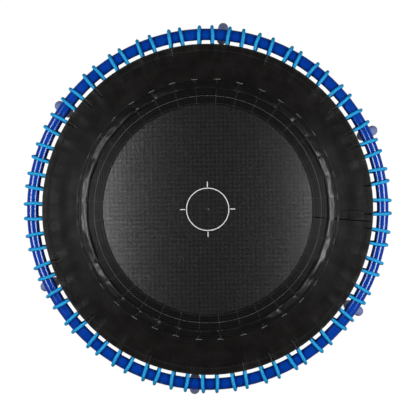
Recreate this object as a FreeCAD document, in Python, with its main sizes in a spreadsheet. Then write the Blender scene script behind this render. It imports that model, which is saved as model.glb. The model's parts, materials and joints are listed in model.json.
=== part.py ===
"""A 39 inch fitness trampoline: a steel ring on six arched legs, and a round
mat hung inside it on thirty-six elastic cords.

Units are millimetres. +Z is up, the origin is on the floor under the centre of
the ring, and cord number one and the cord arrays start on the +X axis.
"""
import FreeCAD, Part
import math
import os

import Sketcher

Vector = FreeCAD.Vector
Rotation = FreeCAD.Rotation
Placement = FreeCAD.Placement

UP = Vector(0, 0, 1)
ALONG_RIM = Vector(0, 1, 0)
FULL_TURN = 360

# name, value and meaning of every driving dimension
DRIVING_DIMENSIONS = [
    ("ring_outer_dia", 990.6, "outside diameter of the ring, 39 inches"),
    ("ring_tube_dia", 31.8, "ring tube, 1 1/4 inch"),
    ("ring_wall", 2.0, "wall of the ring tube"),
    ("ring_height", 305.0, "floor to the centreline of the ring tube"),
    ("leg_count", 6, "legs"),
    ("leg_first_angle", 24.7, "degrees from +X to the first leg"),
    ("leg_tube_dia", 28.6, "leg tube, 1 1/8 inch"),
    ("leg_wall", 2.0, "wall of the leg tube"),
    ("leg_top_height", 287.0, "floor to the upper end of a leg tube"),
    ("leg_bend_height", 222.0, "floor to the start of the upper bend"),
    ("leg_bend_radius", 80.0, "centreline radius of both leg bends"),
    ("leg_bend_angle", 45.0, "degrees that each leg bend turns"),
    ("leg_bend_straight", 3.0, "straight tube between the two bends"),
    ("spigot_dia", 24.4, "stub tube welded under the ring"),
    ("spigot_wall", 2.0, "wall of the stub tube"),
    ("spigot_bottom_height", 228.0, "floor to the lower end of a stub tube"),
    ("vent_dia", 10.0, "vent hole drilled in the ring above each stub"),
    ("bolt_dia", 8.0, "M8 bolt through leg and stub"),
    ("bolt_hole_dia", 8.6, "clearance hole for the leg bolt"),
    ("bolt_height", 255.0, "floor to the axis of the leg bolt"),
    ("bolt_thread_spare", 3.0, "thread standing proud of the nut"),
    ("hex_across_corners", 15.0, "bolt head and nut, across the corners"),
    ("bolt_head_height", 5.3, "height of the bolt head"),
    ("nut_height", 6.5, "height of the nut"),
    ("washer_dia", 16.0, "outside diameter of the plain washer"),
    ("washer_height", 1.6, "thickness of the plain washer"),
    ("foot_dia", 36.0, "rubber foot at the floor"),
    ("foot_neck_dia", 33.0, "rubber foot at its upper rim"),
    ("foot_height", 38.0, "height of the rubber foot"),
    ("foot_sole", 8.0, "rubber under the leg tube"),
    ("foot_edge_chamfer", 2.0, "chamfer round the sole"),
    ("foot_washer_height", 2.0, "steel disc that stops the tube cutting the sole"),
    ("foot_washer_hole", 10.0, "hole in the steel disc"),
    ("fit_gap", 0.1, "clearance between parts that slide together"),
    ("cord_count", 36, "elastic cords"),
    ("cord_dia", 9.0, "elastic cord"),
    ("cord_gap", 0.4, "cord to ring paint, both untensioned"),
    ("strand_offset", 19.2, "from a cord's centre plane to each of its strands"),
    ("anchor_radius", 412.0, "ring axis to the centre of a cord anchor"),
    ("anchor_height", 311.0, "floor to the centre of a cord anchor"),
    ("anchor_flange_dia", 40.0, "flanges that keep the cord on the anchor"),
    ("anchor_flange_height", 2.0, "thickness of each flange"),
    ("anchor_groove_gap", 0.5, "clearance beside the cord in the groove"),
    ("anchor_wall_start", 9.0, "anchor centre to the face the beads pull on"),
    ("anchor_wall", 4.0, "thickness of that wall"),
    ("anchor_wall_width", 57.0, "width of that wall"),
    ("anchor_wall_depth", 27.0, "anchor centre down to the wall's lower edge"),
    ("bead_dia", 15.6, "stop bead crimped on a cord's end"),
    ("bead_drop", 17.5, "anchor centre down to the bead centre"),
    ("bead_stub", 7.0, "cord running on through the bead"),
    ("lug_width", 18.0, "width of the lug that takes the steel link"),
    ("lug_height", 6.0, "height of the lug"),
    ("lug_reach", 39.0, "anchor centre to the inner end of the lug"),
    ("link_wire_dia", 4.0, "steel link between the webbing and the anchor"),
    ("link_hole_dia", 4.8, "hole in the lug"),
    ("link_hole_reach", 34.0, "anchor centre to that hole"),
    ("link_half_outer", 12.0, "half width of the link at the anchor"),
    ("link_half_inner", 18.5, "half width of the link at the webbing"),
    ("link_corner", 4.5, "corner radius of the link's centreline"),
    ("tab_radius", 357.0, "ring axis to the webbing loop's axis"),
    ("tab_start_radius", 331.0, "ring axis to the inner end of the webbing"),
    ("tab_width", 24.0, "width of the webbing"),
    ("tab_webbing", 1.5, "thickness of one layer of webbing"),
    ("tab_bore_dia", 5.0, "inside of the webbing loop"),
    ("sheet_radius", 326.0, "woven jumping sheet, to its hidden edge"),
    ("sheet_thickness", 1.5, "woven jumping sheet"),
    ("sheet_top_height", 316.0, "floor to the jumping surface"),
    ("band_inner_radius", 287.0, "inner edge of the border band"),
    ("band_outer_radius", 361.0, "outer edge of the border band"),
    ("band_thickness", 2.0, "border band"),
    ("layer_gap", 0.3, "space between sewn layers"),
    ("roll_inner_radius", 329.5, "inner edge of the padded roll"),
    ("roll_outer_radius", 352.0, "outer edge of the padded roll"),
    ("roll_crown", 7.6, "height of the padded roll"),
    ("roll_cover", 1.2, "thickness of the roll's cover"),
    ("skirt_inner_radius", 353.0, "inner edge of the skirt"),
    ("skirt_outer_radius", 451.0, "outer edge of the skirt"),
    ("skirt_rise", 7.0, "how far the skirt climbs over the cords"),
    ("skirt_thickness", 1.4, "skirt fabric"),
    ("hem_width", 20.0, "hem tape round the skirt"),
    ("hem_thickness", 0.8, "hem tape round the skirt"),
    ("lap_width_angle", 3.9, "degrees of skirt that the closing lap covers"),
    ("lap_centre_angle", -3.1, "degrees from +X to the closing lap"),
    ("lap_inner_radius", 366.0, "inner end of the closing lap"),
    ("lap_outer_radius", 425.0, "outer end of the closing lap, clear of the hem tape"),
    ("tack_length", 18.0, "bar tack, along the seam"),
    ("tack_width", 3.3, "bar tack, across the seam"),
    ("tack_height", 0.7, "bar tack"),
    ("tack_radius", 356.0, "ring axis to the middle of a bar tack"),
    ("thread_dia", 1.0, "seam thread"),
    ("surface_gap", 0.02, "space between thread or ink and the cloth under it"),
    ("inner_seam_radius", 290.5, "seam beside the band's inner edge"),
    ("middle_seam_radius", 310.0, "seam along the middle of the band"),
    ("mark_radius", 59.0, "printed centre ring"),
    ("mark_line", 2.4, "width of the printed lines"),
    ("mark_tick", 14.0, "length of the printed ticks"),
    ("mark_ink", 0.15, "thickness of the ink"),
]


def new_model():
    """The document and its sheet of driving dimensions."""
    model = FreeCAD.newDocument("mini_trampoline")
    sheet = model.addObject("Spreadsheet::Sheet", "sizes")
    for row, (alias, number, meaning) in enumerate(DRIVING_DIMENSIONS, start=1):
        sheet.set(f"A{row}", meaning)
        sheet.set(f"B{row}", str(number))
        sheet.setAlias(f"B{row}", alias)
    model.recompute()
    return model, sheet


doc, sizes = new_model()


def size(alias):
    """A driving dimension as a plain number."""
    return float(sizes.get(alias))


def bind(thing, **expressions):
    """Binds properties of a document object to the sheet: Radius="sizes.cord_dia / 2"."""
    for name, expression in expressions.items():
        thing.setExpression(name.replace("__", "."), expression)
    return thing


# ---------------------------------------------------------------- modelling helpers


def origin_feature(body, role):
    """One of the body's own origin planes or axes."""
    return next(f for f in body.Origin.OriginFeatures if f.Role == role)


def new_body(name):
    """An empty PartDesign body."""
    body = doc.addObject("PartDesign::Body", name)
    body.Label = name
    return body


def new_sketch(body, name, plane="XZ_Plane", lift="0"):
    """A sketch on one of the body's origin planes, lifted along that plane's normal."""
    sketch = body.newObject("Sketcher::SketchObject", name)
    sketch.AttachmentSupport = [(origin_feature(body, plane), "")]
    sketch.MapMode = "FlatFace"
    sketch.setExpression("AttachmentOffset.Base.z", lift)
    return sketch


def bound_constraint(sketch, kind, *where, expression):
    """A constraint whose value comes from the sheet."""
    number = sketch.addConstraint(Sketcher.Constraint(kind, *where, sketch.evalExpression(expression)))
    sketch.setExpression(f"Constraints[{number}]", expression)


def draw_circle(sketch, radius, centre_y="0"):
    """A circle on the sketch's vertical axis."""
    start = Vector(0, sketch.evalExpression(centre_y), 0)
    circle = sketch.addGeometry(Part.Circle(start, UP, sketch.evalExpression(radius)), False)
    sketch.addConstraint(Sketcher.Constraint("PointOnObject", circle, 3, -2))
    if centre_y == "0":
        sketch.addConstraint(Sketcher.Constraint("PointOnObject", circle, 3, -1))
    else:
        bound_constraint(sketch, "DistanceY", circle, 3, expression=centre_y)
    bound_constraint(sketch, "Radius", circle, expression=radius)


def draw_outline(sketch, corners):
    """A closed outline of straight lines through corners given as pairs of expressions."""
    points = [Vector(*[sketch.evalExpression(c) for c in corner], 0) for corner in corners]
    count = len(points)
    for i in range(count):
        sketch.addGeometry(Part.LineSegment(points[i], points[(i + 1) % count]), False)
    for i in range(count):
        sketch.addConstraint(Sketcher.Constraint("Coincident", i, 2, (i + 1) % count, 1))
    for i, (across, upward) in enumerate(corners):
        pin_point(sketch, i, 1, across, upward)


def pin_point(sketch, edge, end, across, upward):
    """Fixes one end of an edge at (across, upward)."""
    if across == "0":
        sketch.addConstraint(Sketcher.Constraint("PointOnObject", edge, end, -2))
    else:
        bound_constraint(sketch, "DistanceX", edge, end, expression=across)
    if upward == "0":
        sketch.addConstraint(Sketcher.Constraint("PointOnObject", edge, end, -1))
    else:
        bound_constraint(sketch, "DistanceY", edge, end, expression=upward)


def pad(body, sketch, length, both_ways=False, downward=False):
    """Pads a sketch."""
    feature = body.newObject("PartDesign::Pad", sketch.Name + "_pad")
    feature.Profile = sketch
    feature.Midplane = both_ways
    feature.Reversed = downward
    return bind(feature, Length=length)


def drill_across(body, name, radius, height):
    """A round hole right through the body along Y, centred on its axis at the given height."""
    sketch = new_sketch(body, name)
    draw_circle(sketch, radius, height)
    before = doc_volume(body)
    hole = body.newObject("PartDesign::Pocket", name + "_cut")
    hole.Profile = sketch
    hole.Midplane = True
    hole.Type = 1
    if doc_volume(body) >= before:
        raise RuntimeError(f"{name} cut nothing")
    return hole


def doc_volume(body):
    """The body's volume after a recompute."""
    doc.recompute()
    return body.Shape.Volume


def revolve(body, sketch, angle="360 deg"):
    """Turns a sketch about its vertical axis, which is the body's Z axis."""
    feature = body.newObject("PartDesign::Revolution", sketch.Name + "_turn")
    feature.Profile = sketch
    feature.ReferenceAxis = (sketch, ["V_Axis"])
    return bind(feature, Angle=angle)


def turned_body(name, corners, angle="360 deg"):
    """A body turned from one outline in the XZ plane."""
    body = new_body(name)
    sketch = new_sketch(body, name + "_outline")
    draw_outline(sketch, corners)
    revolve(body, sketch, angle)
    return body


def solid_cylinder(name, radius, length, lift="0"):
    """A Part cylinder on the Z axis."""
    cylinder = doc.addObject("Part::Cylinder", name)
    return bind(cylinder, Radius=radius, Height=length, Placement__Base__z=lift)


def solid_torus(name, centre_radius, tube_radius, lift):
    """A Part torus about the Z axis."""
    torus = doc.addObject("Part::Torus", name)
    return bind(torus, Radius1=centre_radius, Radius2=tube_radius, Placement__Base__z=lift)


def combine(kind, name, base, tool):
    """A Part boolean of two objects: kind is Cut, Fuse or Common."""
    result = doc.addObject("Part::" + kind, name)
    result.Base = base
    result.Tool = tool
    result.Label = name
    return result


def repeat_round(name, one, count, first_angle=0.0):
    """Copies of one shape at equal steps about the ring's axis, as separate solids of one piece."""
    doc.recompute()
    step = FULL_TURN / count
    copies = []
    for i in range(count):
        turned = one.Shape.copy()
        turned.rotate(Vector(0, 0, 0), UP, first_angle + i * step)
        copies.append(turned)
    group = doc.addObject("Part::Feature", name)
    group.Shape = Part.Compound([solid for shape in copies for solid in shape.Solids])
    group.Label = name
    return group


def repeat_at_legs(name, one):
    """One shape repeated at every leg."""
    return repeat_round(name, one, int(size("leg_count")), size("leg_first_angle"))


def repeat_at_cords(name, one):
    """One shape repeated at every cord."""
    return repeat_round(name, one, int(size("cord_count")))


def repeat_between_cords(name, one):
    """One shape repeated half way between every two cords."""
    count = int(size("cord_count"))
    return repeat_round(name, one, count, FULL_TURN / count / 2)


# ---------------------------------------------------------------- ring and legs

RING_RADIUS = "(sizes.ring_outer_dia - sizes.ring_tube_dia) / 2"
ring_radius = (size("ring_outer_dia") - size("ring_tube_dia")) / 2
foot_radius = (
    ring_radius
    + 2 * size("leg_bend_radius") * (1 - math.cos(math.radians(size("leg_bend_angle"))))
    + size("leg_bend_straight") * math.sin(math.radians(size("leg_bend_angle")))
)


def ring_frame():
    """The round steel tube, hollow all the way round, with a vent hole above each stub."""
    outside = solid_torus("ring_outside", RING_RADIUS, "sizes.ring_tube_dia / 2", "sizes.ring_height")
    bore = solid_torus(
        "ring_bore", RING_RADIUS, "sizes.ring_tube_dia / 2 - sizes.ring_wall", "sizes.ring_height"
    )
    tube = combine("Cut", "ring_tube", outside, bore)
    under_ring = "sizes.ring_height - sizes.ring_tube_dia"
    drill = solid_cylinder("vent_drill", "sizes.vent_dia / 2", "sizes.ring_tube_dia", under_ring)
    bind(drill, Placement__Base__x=RING_RADIUS)
    return combine("Cut", "ring_frame", tube, repeat_at_legs("vent_drills", drill))


def leg_spigots():
    """Stub tubes coped to the underside of the ring and welded there; the legs slide over them."""
    body = new_body("spigot_stub")
    sketch = new_sketch(body, "spigot_section", "XY_Plane", "sizes.spigot_bottom_height")
    draw_circle(sketch, "sizes.spigot_dia / 2")
    draw_circle(sketch, "sizes.spigot_dia / 2 - sizes.spigot_wall")
    pad(body, sketch, "sizes.ring_height - sizes.spigot_bottom_height")
    drill_across(body, "spigot_bolt_hole", "sizes.bolt_hole_dia / 2", "sizes.bolt_height")
    bind(body, Placement__Base__x=RING_RADIUS)
    cope = solid_torus("spigot_cope", RING_RADIUS, "sizes.ring_tube_dia / 2", "sizes.ring_height")
    return repeat_at_legs("leg_spigots", combine("Cut", "coped_spigot", body, cope))


def leg_centreline(body):
    """Down from the ring, out through one bend, and back to vertical through the other."""
    sketch = new_sketch(body, "leg_centreline")
    bend = size("leg_bend_radius")
    turn = math.radians(size("leg_bend_angle"))
    top = Vector(0, size("leg_top_height"), 0)
    first = Vector(0, size("leg_bend_height"), 0)
    second = first + Vector(bend * (1 - math.cos(turn)), -bend * math.sin(turn), 0)
    third = second + Vector(math.sin(turn), -math.cos(turn), 0) * size("leg_bend_straight")
    last_centre = third - Vector(bend * math.cos(turn), bend * math.sin(turn), 0)
    fourth = last_centre + Vector(bend, 0, 0)
    foot = Vector(fourth.x, size("foot_sole"), 0)
    upper_bend = Part.ArcOfCircle(Part.Circle(first + Vector(bend, 0, 0), UP, bend), math.pi, math.pi + turn)
    lower_bend = Part.ArcOfCircle(Part.Circle(last_centre, UP, bend), 0, turn)
    sketch.addGeometry(
        [
            Part.LineSegment(top, first),
            upper_bend,
            Part.LineSegment(second, third),
            lower_bend,
            Part.LineSegment(fourth, foot),
        ],
        False,
    )
    sketch.addConstraint(
        [
            Sketcher.Constraint("PointOnObject", 0, 1, -2),
            Sketcher.Constraint("Vertical", 0),
            Sketcher.Constraint("Vertical", 4),
            Sketcher.Constraint("Tangent", 0, 2, 1, 1),
            Sketcher.Constraint("Tangent", 1, 2, 2, 1),
            Sketcher.Constraint("Tangent", 2, 2, 3, 2),
            Sketcher.Constraint("Tangent", 3, 1, 4, 1),
        ]
    )
    bound_constraint(sketch, "DistanceY", 0, 1, expression="sizes.leg_top_height")
    bound_constraint(sketch, "DistanceY", 0, 2, expression="sizes.leg_bend_height")
    bound_constraint(sketch, "Radius", 1, expression="sizes.leg_bend_radius")
    bound_constraint(sketch, "Radius", 3, expression="sizes.leg_bend_radius")
    bound_constraint(sketch, "Distance", 2, expression="sizes.leg_bend_straight")
    across = "2 * sizes.leg_bend_radius * (1 - cos(sizes.leg_bend_angle * 1 deg))"
    between = "sizes.leg_bend_straight * sin(sizes.leg_bend_angle * 1 deg)"
    bound_constraint(sketch, "DistanceX", 4, 2, expression=f"{across} + {between}")
    end = "sizes.foot_sole + sizes.foot_washer_height + sizes.fit_gap"
    bound_constraint(sketch, "DistanceY", 4, 2, expression=end)
    return sketch


def leg_tubes():
    """Arched leg tubes, open at both ends and drilled across for the leg bolt."""
    body = new_body("leg_tube")
    spine = leg_centreline(body)
    section = new_sketch(body, "leg_section", "XY_Plane", "sizes.leg_top_height")
    draw_circle(section, "sizes.leg_tube_dia / 2")
    draw_circle(section, "sizes.leg_tube_dia / 2 - sizes.leg_wall")
    doc.recompute()
    pipe = body.newObject("PartDesign::AdditivePipe", "leg_pipe")
    pipe.Profile = section
    pipe.Spine = spine
    drill_across(body, "leg_bolt_hole", "sizes.bolt_hole_dia / 2", "sizes.bolt_height")
    bind(body, Placement__Base__x=RING_RADIUS)
    return repeat_at_legs("leg_tubes", body)


def place_across_leg(thing, along):
    """Lays a part that was made on the Z axis along +Y, on the leg bolt's line."""
    place = Vector(ring_radius, along, size("bolt_height"))
    thing.Placement = Placement(place, Rotation(Vector(1, 0, 0), -90))
    return thing


def hex_prism(name, height):
    """A hexagonal prism on the Z axis."""
    prism = doc.addObject("Part::Prism", name)
    prism.Polygon = 6
    return bind(prism, Circumradius="sizes.hex_across_corners / 2", Height=height)


def leg_bolts():
    """Hex head bolts, head on one side of the leg and thread on the other."""
    head = hex_prism("bolt_head", "sizes.bolt_head_height")
    grip = "sizes.leg_tube_dia + 2 * sizes.washer_height + 4 * sizes.fit_gap"
    length = f"{grip} + sizes.nut_height + sizes.bolt_thread_spare"
    shank = solid_cylinder("bolt_shank", "sizes.bolt_dia / 2", length, "sizes.bolt_head_height")
    bolt = combine("Fuse", "one_leg_bolt", head, shank)
    under_head = size("leg_tube_dia") / 2 + size("washer_height") + 2 * size("fit_gap")
    place_across_leg(bolt, -under_head - size("bolt_head_height"))
    return repeat_at_legs("leg_bolts", bolt)


def leg_washers():
    """Plain washers on both sides of every leg."""
    disc = solid_cylinder("washer_disc", "sizes.washer_dia / 2", "sizes.washer_height")
    hole = solid_cylinder("washer_hole", "sizes.bolt_dia / 2 + 2 * sizes.fit_gap", "sizes.washer_height")
    washer = combine("Cut", "one_washer", disc, hole)
    near = size("leg_tube_dia") / 2 + size("fit_gap")
    doc.recompute()
    pair = []
    for along in (near, -near - size("washer_height")):
        place_across_leg(washer, along)
        pair.append(washer.Shape.copy())
    both = doc.addObject("Part::Feature", "washer_pair")
    both.Shape = Part.Compound(pair)
    return repeat_at_legs("leg_washers", both)


def leg_nuts():
    """Hex nuts that close the leg bolts."""
    blank = hex_prism("nut_blank", "sizes.nut_height")
    bore = solid_cylinder("nut_bore", "sizes.bolt_dia / 2 + sizes.fit_gap / 2", "sizes.nut_height")
    nut = combine("Cut", "one_leg_nut", blank, bore)
    place_across_leg(nut, size("leg_tube_dia") / 2 + size("washer_height") + 2 * size("fit_gap"))
    return repeat_at_legs("leg_nuts", nut)


def foot_tips():
    """Rubber feet pushed over the lower ends of the legs."""
    bore = "sizes.leg_tube_dia / 2 + sizes.fit_gap"
    body = turned_body(
        "foot_tip",
        [
            ("0", "0"),
            ("sizes.foot_dia / 2 - sizes.foot_edge_chamfer", "0"),
            ("sizes.foot_dia / 2", "sizes.foot_edge_chamfer"),
            ("sizes.foot_neck_dia / 2", "sizes.foot_height"),
            (bore, "sizes.foot_height"),
            (bore, "sizes.foot_sole"),
            ("0", "sizes.foot_sole"),
        ],
    )
    body.Placement.Base = Vector(foot_radius, 0, 0)
    return repeat_at_legs("foot_tips", body)


def foot_washers():
    """Steel discs in the rubber feet, under the ends of the leg tubes."""
    disc = solid_cylinder("foot_disc", "sizes.leg_tube_dia / 2 - sizes.fit_gap", "sizes.foot_washer_height")
    hole = solid_cylinder("foot_disc_hole", "sizes.foot_washer_hole / 2", "sizes.foot_washer_height")
    washer = combine("Cut", "one_foot_washer", disc, hole)
    washer.Placement.Base = Vector(foot_radius, 0, size("foot_sole"))
    return repeat_at_legs("foot_washers", washer)


# ---------------------------------------------------------------- cords and their fittings


class CordPath:
    """Where one cord runs, in the vertical plane of one of its strands.

    It leaves the anchor at `slope`, wraps over and round the outside of the ring,
    and comes back underneath at `tail_slope` to a bead below the anchor.
    """

    def __init__(self):
        offset = size("strand_offset")
        self.offset = offset
        self.wrap = size("ring_tube_dia") / 2 + size("cord_dia") / 2 + size("cord_gap")
        self.ring = Vector(math.sqrt(ring_radius**2 - offset**2), 0, size("ring_height"))
        self.anchor = Vector(size("anchor_radius"), 0, size("anchor_height"))
        self.slope = self.tangent_slope(self.anchor, above=True)
        self.bead = self.anchor + self.turned(0, -size("bead_drop"))
        self.tail_slope = self.tangent_slope(self.bead, above=False)
        self.top = self.ring + Vector(-math.sin(self.slope), 0, math.cos(self.slope)) * self.wrap
        below = Vector(math.sin(self.tail_slope), 0, -math.cos(self.tail_slope))
        self.bottom = self.ring + below * self.wrap
        self.outermost = self.ring + Vector(self.wrap, 0, 0)

    def tangent_slope(self, start, above):
        """Slope of the line from start that touches the wrap circle above or below the ring."""
        to_ring = self.ring - start
        middle = math.atan2(to_ring.z, to_ring.x)
        spread = math.asin(self.wrap / to_ring.Length)
        return middle + spread if above else middle - spread

    def turned(self, along, upward):
        """A step measured along the upper strand and square to it."""
        c, s = math.cos(self.slope), math.sin(self.slope)
        return Vector(along * c - upward * s, 0, along * s + upward * c)

    def tail_direction(self):
        """Unit vector along the lower strand, outward."""
        return Vector(math.cos(self.tail_slope), 0, math.sin(self.tail_slope))

    def tail_end(self):
        """The cut end of the cord, just inside its bead."""
        return self.bead - self.tail_direction() * size("bead_stub")

    def link_hole(self):
        """The axis of the hole in the anchor's lug."""
        return self.anchor + self.turned(-size("link_hole_reach"), -lug_centre_drop())

    def tilt(self):
        """Rotation from upright to the slope of the upper strand."""
        return Rotation(ALONG_RIM, -math.degrees(self.slope))


def lug_centre_drop():
    """Anchor centre down to the middle of the lug."""
    under_flange = size("cord_dia") / 2 + size("anchor_groove_gap") + size("anchor_flange_height")
    return under_flange + size("lug_height") / 2


cord_path = CordPath()


def half_cord_edges(side):
    """Centreline of one strand, from the bead out and round to the anchor; side is +1 or -1."""
    aside = ALONG_RIM * (side * cord_path.offset)
    tail, bottom, outermost, top, anchor = [
        point + aside
        for point in (
            cord_path.tail_end(),
            cord_path.bottom,
            cord_path.outermost,
            cord_path.top,
            cord_path.anchor,
        )
    ]
    return [
        Part.LineSegment(tail, bottom).toShape(),
        Part.Arc(bottom, outermost, top).toShape(),
        Part.LineSegment(top, anchor).toShape(),
    ]


def elastic_cords():
    """One cord bends round its anchor, so its path isn't flat and is swept along its own wire."""
    aside = ALONG_RIM * cord_path.offset
    turn_back = cord_path.anchor + cord_path.turned(-cord_path.offset, 0)
    u_turn = Part.Arc(cord_path.anchor + aside, turn_back, cord_path.anchor - aside).toShape()
    spine = Part.Wire(Part.__sortEdges__(half_cord_edges(1) + [u_turn] + half_cord_edges(-1)))
    section = Part.Circle(cord_path.tail_end() + aside, cord_path.tail_direction(), size("cord_dia") / 2)
    cord = doc.addObject("Part::Feature", "one_cord")
    cord.Shape = spine.makePipeShell([Part.Wire(section.toShape())], True, True)
    return repeat_at_cords("elastic_cords", cord)


def cord_end_beads():
    """Stop beads on both ends of every cord."""
    ball = bind(doc.addObject("Part::Sphere", "bead_ball"), Radius="sizes.bead_dia / 2")
    bore = solid_cylinder(
        "bead_bore", "(sizes.cord_dia + sizes.fit_gap) / 2", "2 * sizes.bead_dia", "-sizes.bead_dia"
    )
    bead = combine("Cut", "one_bead", ball, bore)
    doc.recompute()
    lie_along_tail = Rotation(UP, cord_path.tail_direction())
    pair = []
    for side in (1, -1):
        bead.Placement = Placement(cord_path.bead + ALONG_RIM * (side * cord_path.offset), lie_along_tail)
        pair.append(bead.Shape.copy())
    both = doc.addObject("Part::Feature", "bead_pair")
    both.Shape = Part.Compound(pair)
    return repeat_at_cords("cord_end_beads", both)


def cord_anchors():
    """Moulded anchors: a grooved puck for the cord, a notched wall for its beads, a lug for the link."""
    half_groove = "(sizes.cord_dia / 2 + sizes.anchor_groove_gap)"
    under = f"({half_groove} + sizes.anchor_flange_height)"
    body = new_body("cord_anchor")
    core = new_sketch(body, "anchor_core", "XY_Plane")
    draw_circle(core, f"sizes.strand_offset - {half_groove}")
    pad(body, core, f"2 * {under}", both_ways=True)
    for name, lift, downward in (("upper", half_groove, False), ("lower", f"-{half_groove}", True)):
        flange = new_sketch(body, f"anchor_{name}_flange", "XY_Plane", lift)
        draw_circle(flange, "sizes.anchor_flange_dia / 2")
        pad(body, flange, "sizes.anchor_flange_height", downward=downward)
    lug = new_sketch(body, "anchor_lug")
    lug_bottom = f"-{under} - sizes.lug_height"
    draw_outline(
        lug,
        [
            ("-sizes.lug_reach", f"-{under}"),
            ("-sizes.lug_reach", lug_bottom),
            ("sizes.anchor_wall_start", lug_bottom),
            ("sizes.anchor_wall_start", f"-{under}"),
        ],
    )
    pad(body, lug, "sizes.lug_width", both_ways=True)
    wall = new_sketch(body, "anchor_wall")
    draw_outline(
        wall,
        [
            ("sizes.anchor_wall_start", f"-{half_groove} - sizes.anchor_flange_height / 2"),
            ("sizes.anchor_wall_start", "-sizes.anchor_wall_depth"),
            ("sizes.anchor_wall_start + sizes.anchor_wall", "-sizes.anchor_wall_depth"),
            (
                "sizes.anchor_wall_start + sizes.anchor_wall",
                f"-{half_groove} - sizes.anchor_flange_height / 2",
            ),
        ],
    )
    pad(body, wall, "sizes.anchor_wall_width", both_ways=True)
    body.Placement = Placement(cord_path.anchor, cord_path.tilt())
    doc.recompute()
    anchor = combine("Cut", "one_cord_anchor", body, anchor_cutters())
    return repeat_at_cords("cord_anchors", anchor)


def anchor_cutters():
    """The two open notches for the cord's tails and the cross hole for the link, as one tool."""
    cutter_radius = size("cord_dia") / 2 + size("anchor_groove_gap")
    reach = size("anchor_wall_start") + 3 * size("anchor_wall")
    direction = cord_path.tail_direction()
    square_down = Vector(math.sin(cord_path.tail_slope), 0, -math.cos(cord_path.tail_slope))
    tools = []
    for side in (1, -1):
        start = cord_path.bead + ALONG_RIM * (side * cord_path.offset)
        tools.append(Part.makeCylinder(cutter_radius, reach, start, direction))
        slot = Part.makeBox(reach, 2 * cutter_radius, size("anchor_wall_depth"))
        slot.Placement = Placement(
            start - ALONG_RIM * cutter_radius + square_down * size("anchor_wall_depth"),
            Rotation(direction, ALONG_RIM, -square_down, "XYZ"),
        )
        tools.append(slot)
    hole_start = cord_path.link_hole() - ALONG_RIM * size("lug_width")
    tools.append(Part.makeCylinder(size("link_hole_dia") / 2, 2 * size("lug_width"), hole_start, ALONG_RIM))
    cutter = doc.addObject("Part::Feature", "anchor_cutter")
    cutter.Shape = tools[0].multiFuse(tools[1:])
    return cutter


def rounded_loop(corners, radius):
    """A closed wire through flat corner points, with every corner rounded."""
    count = len(corners)
    cuts = []
    for i, corner in enumerate(corners):
        back = (corners[i - 1] - corner).normalize()
        ahead = (corners[(i + 1) % count] - corner).normalize()
        half_angle = back.getAngle(ahead) / 2
        trim = radius / math.tan(half_angle)
        inward = (back + ahead).normalize()
        middle = corner + inward * (radius / math.sin(half_angle) - radius)
        cuts.append((corner + back * trim, middle, corner + ahead * trim))
    edges = []
    for i, (start, middle, end) in enumerate(cuts):
        edges.append(Part.Arc(start, middle, end).toShape())
        edges.append(Part.LineSegment(end, cuts[(i + 1) % count][0]).toShape())
    return Part.Wire(edges)


def tab_axis():
    """A point on the axis of the webbing loop."""
    loop_radius = size("tab_bore_dia") / 2 + size("tab_webbing")
    under_band = size("sheet_top_height") + size("layer_gap")
    return Vector(size("tab_radius"), 0, under_band - size("layer_gap") / 2 - loop_radius)


def mat_links():
    """Closed steel links of bent wire, swept along a rounded four-sided loop."""
    outer = cord_path.link_hole()
    inner = tab_axis()
    wide, narrow = ALONG_RIM * size("link_half_inner"), ALONG_RIM * size("link_half_outer")
    loop = rounded_loop([outer - narrow, outer + narrow, inner + wide, inner - wide], size("link_corner"))
    first_edge = loop.OrderedEdges[0]
    start = first_edge.valueAt(first_edge.FirstParameter)
    heading = first_edge.tangentAt(first_edge.FirstParameter)
    section = Part.Wire(Part.Circle(start, heading, size("link_wire_dia") / 2).toShape())
    link = doc.addObject("Part::Feature", "one_link")
    link.Shape = loop.makePipeShell([section], True, True)
    return repeat_at_cords("mat_links", link)


def webbing_tabs():
    """Folded webbing sewn under the border band, each with a loop for its steel link."""
    loop_radius = "(sizes.tab_bore_dia / 2 + sizes.tab_webbing)"
    axis = tab_axis()
    across = Rotation(Vector(1, 0, 0), -90)
    start = Vector(axis.x, -size("tab_width") / 2, axis.z)
    loop = solid_cylinder("tab_loop", loop_radius, "sizes.tab_width")
    bore = solid_cylinder("tab_bore", "sizes.tab_bore_dia / 2", "sizes.tab_width")
    for cylinder in (loop, bore):
        cylinder.setExpression("Placement.Base.z", None)
        cylinder.Placement = Placement(start, across)
    flat = bind(
        doc.addObject("Part::Box", "tab_flat"),
        Length="sizes.tab_radius - sizes.tab_start_radius",
        Width="sizes.tab_width",
        Height="2 * sizes.tab_webbing",
    )
    top = axis.z + size("tab_bore_dia") / 2 + size("tab_webbing")
    flat.Placement.Base = Vector(size("tab_start_radius"), start.y, top - 2 * size("tab_webbing"))
    folded = combine("Fuse", "tab_folded", loop, flat)
    return repeat_at_cords("webbing_tabs", combine("Cut", "one_tab", folded, bore))


# ---------------------------------------------------------------- mat, band, roll and skirt

BAND_BOTTOM = "(sizes.sheet_top_height + sizes.layer_gap)"
BAND_TOP = f"({BAND_BOTTOM} + sizes.band_thickness)"
SEWN_ON_BAND = f"({BAND_TOP} + sizes.layer_gap / 3)"
SKIRT_TOP = f"({SEWN_ON_BAND} + sizes.skirt_thickness)"


def flat_ring(name, inner, outer, bottom, thickness):
    """A flat ring of fabric."""
    body = new_body(name)
    sketch = new_sketch(body, name + "_outline", "XY_Plane", bottom)
    draw_circle(sketch, outer)
    if inner:
        draw_circle(sketch, inner)
    pad(body, sketch, thickness)
    return body


def mat_sheet():
    """The woven jumping sheet; it runs on under the border band."""
    bottom = "sizes.sheet_top_height - sizes.sheet_thickness"
    return flat_ring("mat_sheet", None, "sizes.sheet_radius", bottom, "sizes.sheet_thickness")


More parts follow.
